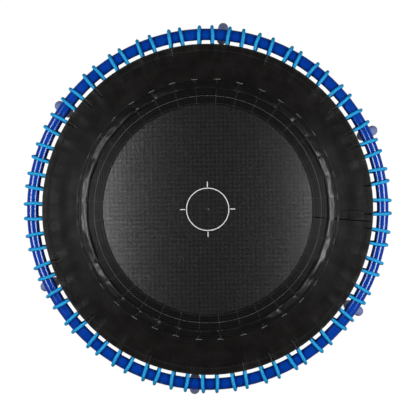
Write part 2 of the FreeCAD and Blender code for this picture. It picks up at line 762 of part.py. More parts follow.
def border_band():
    """The doubled webbing band round the jumping sheet."""
    inner, outer = "sizes.band_inner_radius", "sizes.band_outer_radius"
    return flat_ring("border_band", inner, outer, BAND_BOTTOM, "sizes.band_thickness")


def band_stitching():
    """Two rows of thread round the band."""
    rows = []
    for name, radius in (("inner", "sizes.inner_seam_radius"), ("middle", "sizes.middle_seam_radius")):
        lift = f"{BAND_TOP} + sizes.thread_dia / 2 + sizes.surface_gap"
        rows.append(solid_torus(f"{name}_seam", radius, "sizes.thread_dia / 2", lift))
    both = doc.addObject("Part::Compound", "band_stitching")
    both.Links = rows
    both.Label = "band_stitching"
    return both


def half_roll(name, inset):
    """The upper part of a torus, crowned above the band; inset shrinks it on all sides."""
    chord = "(sizes.roll_outer_radius - sizes.roll_inner_radius)"
    crown = "sizes.roll_crown"
    section_radius = f"(({chord} / 2)^2 + ({crown})^2) / (2 * {crown})"
    middle = "(sizes.roll_outer_radius + sizes.roll_inner_radius) / 2"
    centre = f"{SEWN_ON_BAND} + {crown} - {section_radius}"
    torus = solid_torus(name + "_torus", middle, f"{section_radius} - {inset}", centre)
    slab = solid_cylinder(
        name + "_slab", "sizes.ring_outer_dia / 2", "sizes.ring_tube_dia", f"{SEWN_ON_BAND} + {inset}"
    )
    return combine("Common", name, torus, slab)


def edge_roll_cover():
    """The glossy cover of the padded roll."""
    outside = half_roll("roll_outside", "0")
    return combine("Cut", "edge_roll_cover", outside, half_roll("roll_inside", "sizes.roll_cover"))


def edge_roll_foam():
    """The foam inside the padded roll."""
    return half_roll("edge_roll_foam", "(sizes.roll_cover + sizes.fit_gap)")


def on_skirt(radius, above):
    """A point at the given radius and height above the sloping skirt's upper face."""
    run = "(sizes.skirt_outer_radius - sizes.band_outer_radius)"
    climb = f"sizes.skirt_rise * ({radius} - sizes.band_outer_radius) / {run}"
    return (radius, f"{SKIRT_TOP} + {climb} + {above}")


def skirt():
    """The fabric skirt: sewn flat on the band's edge, then rising over the cords to its hem."""
    edge = "sizes.skirt_outer_radius"
    fold = "sizes.band_outer_radius"
    thickness = "-sizes.skirt_thickness"
    return turned_body(
        "skirt",
        [
            ("sizes.skirt_inner_radius", SEWN_ON_BAND),
            on_skirt(fold, thickness),
            on_skirt(edge, thickness),
            on_skirt(edge, "0"),
            on_skirt(fold, "0"),
            ("sizes.skirt_inner_radius", SKIRT_TOP),
        ],
    )


def strip_on_skirt(name, start, end, thickness, angle="360 deg"):
    """A strip of fabric lying on the sloping part of the skirt."""
    above = "sizes.layer_gap / 3"
    over = f"{above} + {thickness}"
    corners = [on_skirt(start, above), on_skirt(end, above), on_skirt(end, over), on_skirt(start, over)]
    return turned_body(name, corners, angle)


def skirt_hem():
    """Tape round the outer edge of the skirt."""
    edge = "sizes.skirt_outer_radius"
    return strip_on_skirt("skirt_hem", f"({edge} - sizes.hem_width)", edge, "sizes.hem_thickness")


def skirt_lap():
    """The lap where the two ends of the skirt strip are sewn together."""
    inner, outer = "sizes.lap_inner_radius", "sizes.lap_outer_radius"
    lap = strip_on_skirt("skirt_lap", inner, outer, "sizes.hem_thickness", "sizes.lap_width_angle * 1 deg")
    first_side = size("lap_centre_angle") - size("lap_width_angle") / 2
    lap.Placement = Placement(Vector(0, 0, 0), Rotation(UP, first_side))
    return lap


def bar_tacks():
    """A dense bar of stitches on the seam, half way between every two cords."""
    tack = bind(
        doc.addObject("Part::Box", "one_tack"),
        Length="sizes.tack_width",
        Width="sizes.tack_length",
        Height="sizes.tack_height",
        Placement__Base__x="sizes.tack_radius - sizes.tack_width / 2",
        Placement__Base__y="-sizes.tack_length / 2",
        Placement__Base__z=f"{SKIRT_TOP} + sizes.layer_gap / 3",
    )
    return repeat_between_cords("bar_tacks", tack)


def centre_mark():
    """A printed ring with four ticks, which shows the middle of the mat."""
    ring = flat_ring(
        "mark_ring",
        "sizes.mark_radius - sizes.mark_line",
        "sizes.mark_radius",
        "sizes.sheet_top_height + sizes.surface_gap",
        "sizes.mark_ink",
    )
    tick = bind(
        doc.addObject("Part::Box", "mark_tick"),
        Length="sizes.mark_tick",
        Width="sizes.mark_line",
        Height="sizes.mark_ink",
        Placement__Base__x="sizes.mark_radius + sizes.mark_line",
        Placement__Base__y="-sizes.mark_line / 2",
        Placement__Base__z="sizes.sheet_top_height + sizes.surface_gap",
    )
    mark = doc.addObject("Part::Compound", "centre_mark")
    mark.Links = [ring, repeat_round("mark_ticks", tick, 4)]
    mark.Label = "centre_mark"
    return mark


# ---------------------------------------------------------------- checking and writing

PIECES = [
    ring_frame,
    leg_spigots,
    leg_tubes,
    leg_bolts,
    leg_washers,
    leg_nuts,
    foot_tips,
    foot_washers,
    elastic_cords,
    cord_end_beads,
    cord_anchors,
    mat_links,
    webbing_tabs,
    border_band,
    band_stitching,
    edge_roll_cover,
    edge_roll_foam,
    skirt,
    skirt_hem,
    skirt_lap,
    bar_tacks,
    mat_sheet,
    centre_mark,
]


def check_document():
    """Stops if any object failed to recompute."""
    for thing in doc.Objects:
        if "Invalid" in thing.State or "Error" in thing.State:
            raise RuntimeError(f"{thing.Name} is {thing.State}")


def check_piece(piece):
    """Stops if a piece has no solid, or one that isn't valid."""
    shape = piece.Shape
    if shape.isNull() or not shape.isValid() or not shape.Solids:
        raise RuntimeError(f"{piece.Label} has no valid solid")
    if any(solid.Volume <= 0 for solid in shape.Solids):
        raise RuntimeError(f"{piece.Label} has a solid turned inside out")


def main():
    pieces = [make() for make in PIECES]
    doc.recompute()
    check_document()
    for piece in pieces:
        check_piece(piece)
    os.makedirs("parts", exist_ok=True)
    for piece in pieces:
        piece.Shape.exportStep(f"parts/{piece.Label}.step")
        print(f"{piece.Label}: {len(piece.Shape.Solids)} solids, {piece.Shape.Volume / 1000:.1f} cm3")


main()
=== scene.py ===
"""Looks for the cord-hung fitness trampoline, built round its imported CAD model.

Everything is in metres in the model's own frame: +Z up, the floor at zero, the
ring's axis on the Z axis and the first elastic cord on +X.
"""
import json
import math

import bpy
import numpy as np
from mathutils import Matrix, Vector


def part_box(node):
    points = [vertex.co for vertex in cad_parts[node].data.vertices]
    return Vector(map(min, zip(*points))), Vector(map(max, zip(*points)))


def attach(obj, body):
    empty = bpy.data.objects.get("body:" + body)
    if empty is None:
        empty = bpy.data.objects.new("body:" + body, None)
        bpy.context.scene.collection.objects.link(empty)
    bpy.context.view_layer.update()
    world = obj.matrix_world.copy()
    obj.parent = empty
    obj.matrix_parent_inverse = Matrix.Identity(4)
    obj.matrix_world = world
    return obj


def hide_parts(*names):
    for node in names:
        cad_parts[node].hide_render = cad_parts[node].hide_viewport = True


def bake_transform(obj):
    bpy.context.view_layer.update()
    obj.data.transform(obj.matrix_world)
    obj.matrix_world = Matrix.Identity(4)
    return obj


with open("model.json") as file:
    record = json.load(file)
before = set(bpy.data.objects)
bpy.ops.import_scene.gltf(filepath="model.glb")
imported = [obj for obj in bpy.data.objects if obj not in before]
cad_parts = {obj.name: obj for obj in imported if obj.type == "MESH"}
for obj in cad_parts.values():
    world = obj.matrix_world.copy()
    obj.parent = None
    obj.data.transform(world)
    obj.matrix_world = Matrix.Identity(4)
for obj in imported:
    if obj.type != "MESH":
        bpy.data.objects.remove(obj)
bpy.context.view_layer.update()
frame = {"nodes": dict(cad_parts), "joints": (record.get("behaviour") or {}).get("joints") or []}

MM = 0.001
TAU = 2 * math.pi
CORDS = 36
LEGS = 6
CORD_STEP = TAU / CORDS
LEG_STEP = TAU / LEGS
rng = np.random.default_rng(39)


# ---------------------------------------------------------------- sizes from the frame


def points_of(piece):
    """Every point of a piece, as an array."""
    points = np.zeros(len(piece.data.vertices) * 3, np.float32)
    piece.data.vertices.foreach_get("co", points)
    return points.reshape(-1, 3).astype(float)


def node_points(node):
    """Every point of a CAD node."""
    return points_of(frame["nodes"][node])


def radius_of(points):
    return np.hypot(points[:, 0], points[:, 1])


def bearing_of(points):
    return np.arctan2(points[:, 1], points[:, 0])


def away_from(bearing, angles):
    """How far angles are from a bearing, the short way round and with a sign."""
    return (angles - bearing + math.pi) % TAU - math.pi


def radial_span(node):
    """Smallest and largest distance of a node's points from the Z axis."""
    radii = radius_of(node_points(node))
    return float(radii.min()), float(radii.max())


def heights(node):
    """Lowest and highest Z of a node."""
    low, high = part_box(node)
    return low.z, high.z


def bearing_span(node):
    """Smallest and largest bearing round the Z axis of a node that lies near +X."""
    bearings = bearing_of(node_points(node))
    return float(bearings.min()), float(bearings.max())


def first_bearing(node, count):
    """Bearing of the first of a node's equal copies round the Z axis."""
    spins = np.exp(1j * count * bearing_of(node_points(node)))
    return float(np.angle(spins.mean()) % TAU) / count


def one_copy(node, bearing, step):
    """Lowest and highest corner of the copy at a bearing, once it's turned onto +X."""
    points = node_points(node)
    near = points[np.abs(away_from(bearing, bearing_of(points))) < step / 2]
    c, s = math.cos(bearing), math.sin(bearing)
    outward = near[:, 0] * c + near[:, 1] * s
    aside = near[:, 1] * c - near[:, 0] * s
    turned = np.column_stack([outward, aside, near[:, 2]])
    return turned.min(axis=0), turned.max(axis=0)


RING_LOW, RING_HIGH = heights("ring_frame")
TUBE = (RING_HIGH - RING_LOW) / 2
RING_Z = (RING_HIGH + RING_LOW) / 2
RING_R = radial_span("ring_frame")[1] - TUBE

SHEET_LOW, SHEET_HIGH = heights("mat_sheet")
SHEET_R = radial_span("mat_sheet")[1]
BAND_LOW, BAND_HIGH = heights("border_band")
BAND_INNER, BAND_R = radial_span("border_band")
ROLL_LOW, ROLL_HIGH = heights("edge_roll_cover")
ROLL_INNER, ROLL_R = radial_span("edge_roll_cover")
SKIRT_LOW, SKIRT_HIGH = heights("skirt")
SKIRT_INNER, SKIRT_R = radial_span("skirt")
SKIRT_CLOTH = 1.4 * MM
SKIRT_RISE = SKIRT_HIGH - SKIRT_LOW - SKIRT_CLOTH
HEM_INNER = radial_span("skirt_hem")[0]
HEM_CLOTH = heights("skirt_hem")[1] - SKIRT_HIGH - 0.1 * MM
LAP_INNER, LAP_R = radial_span("skirt_lap")
LAP_START, LAP_END = bearing_span("skirt_lap")
# how far out from the lap's inner edge its line of painted shade runs across it
LAP_SHADE_LINE = 20 * MM
TACK_BEARING = first_bearing("bar_tacks", CORDS)
tack_low, tack_high = one_copy("bar_tacks", TACK_BEARING, CORD_STEP)
TACK_LOW, TACK_HIGH = tack_low[2], tack_high[2]
TACK_R = (tack_low[0] + tack_high[0]) / 2
TACK_WIDTH, TACK_LENGTH = (tack_high - tack_low)[:2]
THREAD = 0.5 * MM
SEAM_INNER = radial_span("band_stitching")[0] + THREAD
SEAM_MIDDLE = radial_span("band_stitching")[1] - THREAD
MARK_LINE = 2.4 * MM
MARK_R = radial_span("centre_mark")[0] + MARK_LINE
MARK_TICK = 14 * MM
LEG_BEARING = first_bearing("foot_tips", LEGS)
foot_low, foot_high = one_copy("foot_tips", LEG_BEARING, LEG_STEP)
FOOT_HIGH = foot_high[2]
FOOT_DIAMETER = foot_high[0] - foot_low[0]
FOOT_R = (foot_low[0] + foot_high[0]) / 2
spigot_low, spigot_high = one_copy("leg_spigots", LEG_BEARING, LEG_STEP)
SPIGOT = (spigot_high[1] - spigot_low[1]) / 2

CORD = 4.5 * MM
CORD_AROUND = 20
STRAND = 19.2 * MM
WRAP = heights("elastic_cords")[1] - CORD - RING_Z
RING_AT = np.array([math.sqrt(RING_R**2 - STRAND**2), RING_Z])
ANCHOR = np.array([412, 311]) * MM
BEAD_DROP = 17.5 * MM
CORD_STUB = 7 * MM
TAB_LOOP = np.array([357, 312.15]) * MM
TAB_WIDTH = 24 * MM
TAB_CLOTH = 1.5 * MM
TAB_BORE = 2.5 * MM
TAB_START = radial_span("webbing_tabs")[0]
RIM_TRAVEL = next(-j["range_m"][0] for j in frame["joints"] if j["name"] == "rim_sink")


# ---------------------------------------------------------------- mesh helpers


def add_object(name, data, material=None):
    """A new object in the scene: a mesh with its material, a light or a camera."""
    thing = bpy.data.objects.new(name, data)
    bpy.context.scene.collection.objects.link(thing)
    if material:
        data.materials.append(material)
    return thing


def grid_faces(count_u, count_v, close_u=False, close_v=False):
    """Faces over a grid of points, and the row and column each one starts at."""
    last_u = count_u if close_u else count_u - 1
    last_v = count_v if close_v else count_v - 1
    u, v = (share.ravel() for share in np.meshgrid(np.arange(last_u), np.arange(last_v), indexing="ij"))
    row, next_row = u * count_v, (u + 1) % count_u * count_v
    next_v = (v + 1) % count_v
    return np.stack([row + v, next_row + v, next_row + next_v, row + next_v], axis=-1), u, v


def grid_object(name, points, material, close_u=False, close_v=False, scale_u=1.0, scale_v=1.0):
    """A smooth surface through points[u, v]; UVs run with u and v, scaled to metres.

    The order is such that u cross v points out of the surface.
    """
    faces, u, v = grid_faces(*points.shape[:2], close_u, close_v)
    corner_u = np.stack([u, u + 1, u + 1, u], axis=-1) * (scale_u / (u.max() + 1))
    corner_v = np.stack([v, v, v + 1, v + 1], axis=-1) * (scale_v / (v.max() + 1))
    mesh = bpy.data.meshes.new(name)
    mesh.from_pydata(points.reshape(-1, 3).tolist(), [], faces.tolist())
    layer = mesh.uv_layers.new(name="along_metres")
    layer.data.foreach_set("uv", np.stack([corner_u, corner_v], axis=-1).astype(np.float32).ravel())
    mesh.polygons.foreach_set("use_smooth", np.ones(len(faces), bool))
    mesh.update()
    return add_object(name, mesh, material)


def round_points(angles, radii, z):
    """Points at angles (rows) with radii and heights per row and column."""
    a = angles[:, None]
    return np.stack([radii * np.cos(a), radii * np.sin(a), np.broadcast_to(z, radii.shape)], axis=-1)


def revolved(name, section, material, steps, change=None):
    """A closed section of (radius, height) points turned once round the Z axis.

    change(angles, radii, heights) may shape it round the turn and returns new radii and heights.
    """
    angles = np.linspace(0, TAU, steps, endpoint=False)
    section = np.array(section, float)
    radii = np.tile(section[:, 0], (steps, 1))
    z = np.tile(section[:, 1], (steps, 1))
    if change:
        radii, z = change(angles[:, None], radii, z)
    around = float(np.mean(section[:, 0])) * TAU
    edges = np.linalg.norm(np.roll(section, -1, axis=0) - section, axis=1).sum()
    return grid_object(name, round_points(angles, radii, z), material, True, True, around, edges)


def slab_section(inner, outer, bottom, top, steps, edge):
    """A flat strip's closed section, counter-clockwise from above, with rounded edges."""
    across = np.linspace(inner + edge, outer - edge, steps)
    half = (top - bottom) / 2
    middle = (top + bottom) / 2
    bend = np.linspace(math.pi / 2, -math.pi / 2, 7)
    far = [(outer - edge + edge * math.cos(b), middle + half * math.sin(b)) for b in bend]
    near = [(inner + edge - edge * math.cos(b), middle - half * math.sin(b)) for b in bend]
    upper = [(x, top) for x in across[1:-1]]
    lower = [(x, bottom) for x in across[-2:0:-1]]
    return upper + far + lower + near


def tube_frames(path, closed=False):
    """Unit tangents and two side vectors carried along a path without twist."""
    if closed:
        tangents = np.roll(path, -1, axis=0) - np.roll(path, 1, axis=0)
    else:
        tangents = np.gradient(path, axis=0)
    tangents /= np.linalg.norm(tangents, axis=1)[:, None]
    side = np.cross(tangents[0], [0.0, 0.0, 1.0])
    if np.linalg.norm(side) < 0.1:
        side = np.cross(tangents[0], [0.0, 1.0, 0.0])
    sides = []
    for tangent in tangents:
        side = side - tangent * side.dot(tangent)
        side = side / np.linalg.norm(side)
        sides.append(side)
    sides = np.array(sides)
    return tangents, sides, np.cross(tangents, sides)


def tube_points(path, radius, around, closed=False):
    """Points of a tube along a path; radius is one number or one per path point."""
    tangents, sides, ups = tube_frames(path, closed)
    turn = np.linspace(0, TAU, around, endpoint=False)
    radius = np.broadcast_to(radius, len(path))[:, None, None]
    ring = sides[:, None] * np.cos(turn)[None, :, None] - ups[:, None] * np.sin(turn)[None, :, None]
    return path[:, None] + radius * ring


def capped(points):
    """The points of a tube with both its ends closed, by drawing a last ring in to its middle."""
    first = points[:1].mean(axis=1, keepdims=True).repeat(points.shape[1], 1)
    last = points[-1:].mean(axis=1, keepdims=True).repeat(points.shape[1], 1)
    return np.concatenate([first, points, last])


def path_length(path):
    return float(np.linalg.norm(np.diff(path, axis=0), axis=1).sum())


def join(name, things):
    """Several objects of one material made into one."""
    for other in bpy.context.selected_objects:
        other.select_set(False)
    for thing in things:
        thing.select_set(True)
    bpy.context.view_layer.objects.active = things[0]
    bpy.ops.object.join()
    things[0].name = name
    return things[0]


def copies_object(name, points, faces, placements, material):
    """One mesh repeated at many 4x4 placements, all in one object."""
    points = points.reshape(-1, 3)
    everywhere = np.concatenate([points @ m[:3, :3].T + m[:3, 3] for m in placements])
    shift = (np.arange(len(placements)) * len(points))[:, None, None]
    mesh = bpy.data.meshes.new(name)
    mesh.from_pydata(everywhere.tolist(), [], (faces[None] + shift).reshape(-1, faces.shape[1]).tolist())
    mesh.polygons.foreach_set("use_smooth", np.ones(len(mesh.polygons), bool))
    mesh.update()
    return add_object(name, mesh, material)


def placed(position, along, up=(0.0, 0.0, 1.0)):
    """A 4x4 whose X axis is along and whose Z axis is as near up as it can be."""
    x = np.array(along, float) / np.linalg.norm(along)
    y = np.cross(up, x)
    y /= np.linalg.norm(y)
    m = np.eye(4)
    m[:3, 0], m[:3, 1], m[:3, 2], m[:3, 3] = x, y, np.cross(x, y), position
    return m


def polar(radius, angle, z):
    return np.array([radius * math.cos(angle), radius * math.sin(angle), z])


# ---------------------------------------------------------------- pieces and bodies


def on_body(piece, body, slot, *nodes):
    """A finished rigid piece, attached to the body it rides on, with the CAD nodes it stands for hidden. The
    slot is not used.
    """
    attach(piece, body)
    if nodes:
        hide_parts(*nodes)
    return piece


def between_bodies(piece, first, second, weights, slot, *nodes):
    """A finished soft piece: its placement is baked into its points, and the CAD nodes it stands for are
    hidden. The bodies, the weights and the slot are not used.
    """
    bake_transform(piece)
    if nodes:
        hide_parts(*nodes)
    return piece


def smooth_step(x):
    """0 below zero, 1 above one, and smooth between."""
    x = np.clip(x, 0, 1)
    return x * x * (3 - 2 * x)


# ---------------------------------------------------------------- where the cords run


def tangent_slope(start, above):
    """Slope of the line from start that touches the wrap circle above or below the ring."""
    to_ring = RING_AT - start
    middle = math.atan2(to_ring[1], to_ring[0])
    spread = math.asin(WRAP / np.linalg.norm(to_ring))
    return middle + spread if above else middle - spread


def direction(slope):
    """Unit step outward at a slope, in the strand's vertical plane."""
    return np.array([math.cos(slope), math.sin(slope)])


SLOPE = tangent_slope(ANCHOR, True)
BEAD = ANCHOR + BEAD_DROP * direction(SLOPE - math.pi / 2)
TAIL_SLOPE = tangent_slope(BEAD, False)
UPPER_PIVOT = ANCHOR + 8 * MM * direction(SLOPE)
LOWER_PIVOT = BEAD + 16 * MM * direction(TAIL_SLOPE)
TAIL_LEAN = 4 * MM

cord_angles = np.arange(CORDS) * CORD_STEP
strand_shift = np.clip(rng.normal(0, 2.4, (CORDS, 2)), -5, 5) * MM
LEG_CLEARANCE = 1.5 * MM


def keep_clear_of_legs():
    """Strands beside a leg hardly spread towards it."""
    for i, angle in enumerate(cord_angles):
        past_leg = (angle - LEG_BEARING) % LEG_STEP
        if past_leg > LEG_STEP - CORD_STEP:
            strand_shift[i, 0] = min(strand_shift[i, 0], LEG_CLEARANCE)
        if past_leg < CORD_STEP:
            strand_shift[i, 1] = min(strand_shift[i, 1], LEG_CLEARANCE)


keep_clear_of_legs()


def sunk_height(x, pivot, above):
    """Height at x of a strand whose inner end has gone all the way down with the rim."""
    low = pivot - np.array([0, RIM_TRAVEL])
    slope = tangent_slope(low, above)
    sign = 1 if above else -1
    touch = RING_AT[0] - sign * math.sin(slope) * WRAP
    line = low[1] + (x - low[0]) * math.tan(slope)
    circle = RING_AT[1] + sign * np.sqrt(np.maximum(WRAP**2 - (x - RING_AT[0]) ** 2, 0))
    return np.where(x < touch, line, circle)


def sink_share(x, z, pivot, above):
    """How much of the rim's travel a strand's point at (x, z) takes."""
    share = (z - sunk_height(x, pivot, above)) / RIM_TRAVEL
    return np.where(x <= pivot[0], 1.0, np.clip(share, 0, 1))


def rim_share(radius):
    """How much of the rim's travel the skirt takes where it lies on the cords."""
    x = np.asarray(radius, float)
    z = ANCHOR[1] + (x - ANCHOR[0]) * math.tan(SLOPE)
    return sink_share(x, z, UPPER_PIVOT, True)


def half_cord(side, shift):
    """Centreline of one strand, from its bead out, under and round the ring and back to its anchor."""
    tail_end = BEAD - CORD_STUB * direction(TAIL_SLOPE)
    bottom = RING_AT + WRAP * direction(TAIL_SLOPE - math.pi / 2)
    top = RING_AT + WRAP * direction(SLOPE + math.pi / 2)
    tail = tail_end + np.linspace(0, 1, 26)[:, None] * (bottom - tail_end)
    turn = np.linspace(TAIL_SLOPE - math.pi / 2, SLOPE + math.pi / 2, 40)
    wrap = RING_AT + WRAP * np.stack([np.cos(turn), np.sin(turn)], axis=1)
    upper = top + np.linspace(0, 1, 28)[:, None] * (ANCHOR - top)
    flat = np.vstack([tail, wrap[1:-1], upper])

    along = np.concatenate(
        [
            smooth_step((tail[:, 0] - LOWER_PIVOT[0]) / (bottom[0] - LOWER_PIVOT[0])),
            np.ones(len(wrap) - 2),
            smooth_step((upper[:, 0] - UPPER_PIVOT[0]) / (top[0] - UPPER_PIVOT[0])),
        ]
    )
    lean = np.concatenate([along[: len(tail)], np.linspace(1, 0, len(wrap) - 2), np.zeros(len(upper))])
    aside = STRAND + shift * along - TAIL_LEAN * lean

    lower = sink_share(flat[:, 0], flat[:, 1], LOWER_PIVOT, False)
    higher = sink_share(flat[:, 0], flat[:, 1], UPPER_PIVOT, True)
    is_lower = flat[:, 1] < RING_AT[1]
    is_lower[: len(tail)] = True
    is_lower[-len(upper):] = False
    share = np.where(is_lower, lower, higher)
    share[:3] = 1.0
    kernel = np.array([1, 2, 3, 2, 1]) / 9
    share = np.convolve(np.pad(share, 2, mode="edge"), kernel, mode="valid")
    return np.column_stack([flat[:, 0], side * aside, flat[:, 1]]), share


def whole_cord(index):
    """Centreline of one cord and, at each point, how much of the rim's travel it takes."""
    near, near_share = half_cord(1, strand_shift[index, 0])
    far, far_share = half_cord(-1, strand_shift[index, 1])
    turn = np.linspace(0, math.pi, 26)[1:-1]
    back = ANCHOR[:, None] - STRAND * np.sin(turn) * direction(SLOPE)[:, None]
    u_turn = np.column_stack([back[0], STRAND * np.cos(turn), back[1]])
    path = np.vstack([near, u_turn, far[::-1]])
    share = np.concatenate([near_share, np.ones(len(u_turn)), far_share[::-1]])
    angle = cord_angles[index]
    c, s = math.cos(angle), math.sin(angle)
    turned = np.column_stack([path[:, 0] * c - path[:, 1] * s, path[:, 0] * s + path[:, 1] * c, path[:, 2]])
    return turned, share


def make_cords():
    """The thirty-six elastic cords, each one sheathed cord with both ends in its beads."""
    sheath = cord_sheath()
    cords = []
    for index in range(CORDS):
        path, share = whole_cord(index)
        thickness = CORD * (1 + 0.012 * np.sin(np.arange(len(path)) * 0.35 + rng.uniform(0, TAU)))
        points = capped(tube_points(path, thickness, CORD_AROUND))
        share = np.concatenate([share[:1], share, share[-1:]])
        name = f"elastic_cord_{index + 1:02d}"
        cord = grid_object(name, points, sheath, False, True, path_length(path), TAU * CORD)
        between_bodies(cord, "frame", "mat_rim", np.repeat(share, CORD_AROUND), "cord_sheath")
        cords.append(cord)
    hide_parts("elastic_cords")
    return cords


# ---------------------------------------------------------------- mat, band and stitching


def dish_share(radius):
    """How much of the mat's dish a point takes: all in the middle, none under the band."""
    inside = np.clip(1 - (np.asarray(radius) / BAND_INNER) ** 2, 0, 1)
    return inside**1.3


def disc_grid(name, radii, z_top, z_bottom, steps, material):
    """A closed disc with a skin on both faces, made from rings of points."""
    angles = np.linspace(0, TAU, steps, endpoint=False)
    over = np.stack([radii, np.full(len(radii), z_top)], axis=1)
    under = np.stack([radii[::-1], np.full(len(radii), z_bottom)], axis=1)
    section = np.vstack([over, under])
    grid_radii = np.tile(section[:, 0], (steps, 1))
    z = np.tile(section[:, 1], (steps, 1))
    points = round_points(angles, grid_radii, z)
    return grid_object(name, points, material, True, True, TAU * radii.max(), radii.max() * 2)


def make_sheet():
    """The woven jumping sheet, one continuous piece, with the share of the dish each of its points would
    take.
    """
    radii = np.concatenate([[0.05 * MM], np.linspace(4 * MM, BAND_INNER, 70), [SHEET_R]])
    sheet = disc_grid("mat_sheet_woven", radii, SHEET_HIGH, SHEET_LOW, 360, woven_mesh())
    weights = dish_share(radius_of(points_of(sheet)))
    return between_bodies(sheet, "mat_rim", "mat_centre", weights, "woven_mesh", "mat_sheet")


def make_mark():
    """The printed ring and its four ticks, lying on the woven sheet."""
    top = SHEET_HIGH + 0.17 * MM
    bottom = SHEET_HIGH + 0.02 * MM
    ink = print_ink()
    ring = revolved("mark_ring", slab_section(MARK_R - MARK_LINE, MARK_R, bottom, top, 5, 0.1 * MM), ink, 240)
    parts = [ring]
    for quarter in range(4):
        angle = quarter * TAU / 4
        along = np.linspace(MARK_R + MARK_LINE, MARK_R + MARK_LINE + MARK_TICK, 12)
        start, end = polar(along[0], angle, bottom), polar(along[-1], angle, bottom)
        parts.append(strip_object(f"mark_tick_{quarter}", start, end, MARK_LINE, top - bottom, ink, 12))
    mark = join("centre_mark_print", parts)
    weights = dish_share(radius_of(points_of(mark)))
    return between_bodies(mark, "mat_rim", "mat_centre", weights, "mark_ink", "centre_mark")


def strip_object(name, start, end, width, thickness, material, steps):
    """A thin straight strip with rounded edges from start to end, lying flat on its lower face."""
    along = (end - start) / np.linalg.norm(end - start)
    across = np.cross([0.0, 0.0, 1.0], along)
    t = np.linspace(0, 1, steps)[:, None, None]
    half, middle = width / 2, thickness / 2
    edge = min(half, middle)
    bend = np.linspace(math.pi / 2, -math.pi / 2, 5)
    right = [(half - edge + edge * math.cos(b), middle + middle * math.sin(b)) for b in bend]
    left = [(edge - half - edge * math.cos(b), middle - middle * math.sin(b)) for b in bend]
    section = np.array(right + left)
    lift = section[:, 1:] * np.array([0.0, 0.0, 1.0])
    points = start + t * (end - start) - section[:, :1] * across + lift
    return grid_object(name, capped(points), material, False, True, np.linalg.norm(end - start), 2 * width)


def make_band():
    """The webbing band round the sheet, slightly wavy where the cords pull on it."""

    def pulled(angles, radii, z):
        share = (radii - BAND_INNER) / (BAND_R - BAND_INNER)
        outward = 0.25 * MM * np.cos(CORDS * angles) * share
        wave = 0.12 * MM * np.sin(11 * angles + 1) + 0.1 * MM * np.sin(17 * angles + 2)
        return radii + outward + wave * (1 - share), z

    section = slab_section(BAND_INNER, BAND_R, BAND_LOW, BAND_HIGH, 30, 1 * MM)
    band = revolved("border_band_webbing", section, band_webbing(), 720, pulled)
    return on_body(band, "mat_rim", "webbing", "border_band")


def stitch_mesh(length, width, height):
    """One stitch: a thread that rises from its hole, lies along X and goes down again."""
    t = np.linspace(-1, 1, 9)
    rise = height * np.sqrt(np.clip(1 - t**4, 0, 1))
    path = np.column_stack([t * length / 2, np.zeros(9), rise])
    fat = width / 2 * (0.55 + 0.45 * np.cos(t * math.pi / 2))
    points = tube_points(path, fat, 8)
    return points, grid_faces(*points.shape[:2], close_v=True)[0]


def round_stitches(radius, length, gap, z):
    """Placements of a row of stitches at one radius."""
    count = int(TAU * radius / (length + gap))
    placements = []
    for i in range(count):
        angle = i * TAU / count + rng.uniform(-0.03, 0.03) * length / radius
        wobble = radius + rng.uniform(-0.12, 0.12) * MM
        lean = angle + math.pi / 2 + rng.uniform(-0.05, 0.05)
        placements.append(placed(polar(wobble, angle, z), (math.cos(lean), math.sin(lean), 0)))
    return placements


def make_band_stitching():
    """Two rows of single stitches round the band: dark beside its inner edge, pale further out."""
    points, faces = stitch_mesh(3.4 * MM, 2 * THREAD, 0.35 * MM)
    rows = []
    for name, radius, look in (("inner", SEAM_INNER, dark_thread), ("middle", SEAM_MIDDLE, pale_thread)):
        placements = round_stitches(radius, 3.4 * MM, 0.7 * MM, BAND_HIGH)
        row = copies_object(f"band_stitches_{name}", points, faces, placements, look())
        rows.append(on_body(row, "mat_rim", "pale_thread"))
    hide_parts("band_stitching")
    return rows


# ---------------------------------------------------------------- padded roll

ROLL_STEPS = CORDS * 24
ROLL_AROUND = 22
ROLL_MIDDLE = (ROLL_R + ROLL_INNER) / 2 - 3.5 * MM
PINCHED_HALF = math.radians(1.1)
FURTHEST_SWELL = 1.5 * MM


def roll_section(phase):
    """A padded section, steep inside and leaning down outward; phase runs over the crown and back under."""
    half_width = (ROLL_R - ROLL_INNER) / 2
    crown = ROLL_HIGH - ROLL_LOW
    x = -half_width * np.cos(phase)
    across = (1 - np.cos(phase)) / 2
    hump = np.sin(math.pi * across**0.42) ** 0.8
    up = np.where(np.sin(phase) > 1e-6, hump, 0) * crown
    return x, up


tack_angles = cord_angles + TACK_BEARING
tack_pull = rng.uniform(0.1, 1.0, CORDS)


def pinch(angles):
    """How hard the tacks pull the roll down: up to 1 at a tack and 0 between tacks."""
    pull = np.zeros(len(angles))
    for tack, strength in zip(tack_angles, tack_pull):
        pull += strength * np.exp(-((away_from(tack, angles) / PINCHED_HALF) ** 2))
    return pull


def make_roll():
    """The padded roll: a tube of coated fabric, sewn down at each cord and blown up between."""
    angles = np.linspace(0, TAU, ROLL_STEPS, endpoint=False)
    phase = np.linspace(0, TAU, ROLL_AROUND, endpoint=False)
    x, up = roll_section(phase)
    tight = pinch(angles)[:, None]
    noise = rng.normal(0, 0.05, (ROLL_STEPS, ROLL_AROUND)) * MM
    wander = (0.6 * np.sin(7 * angles + 1) + 0.5 * np.sin(19 * angles + 3)) * MM
    radii = ROLL_MIDDLE + wander[:, None] + x[None] * (0.76 - 0.08 * tight)
    swell = 0.14 * np.sin(11 * angles + 2) + 0.1 * np.sin(19 * angles + 5)
    full = 0.78 - 0.36 * tight + swell[:, None]
    z = ROLL_LOW + 0.05 * MM + up[None] * full + np.where(up[None] > 0, noise, 0)
    points = round_points(angles, radii, z)
    around, across = TAU * ROLL_MIDDLE, 2 * (ROLL_R - ROLL_INNER)
    roll = grid_object("edge_roll_padded", points, coated_fabric(), True, True, around, across)
    inflate(roll, up, tight)
    subdivide(roll, 1)
    return on_body(roll, "mat_rim", "coated_fabric", "edge_roll_cover", "edge_roll_foam")


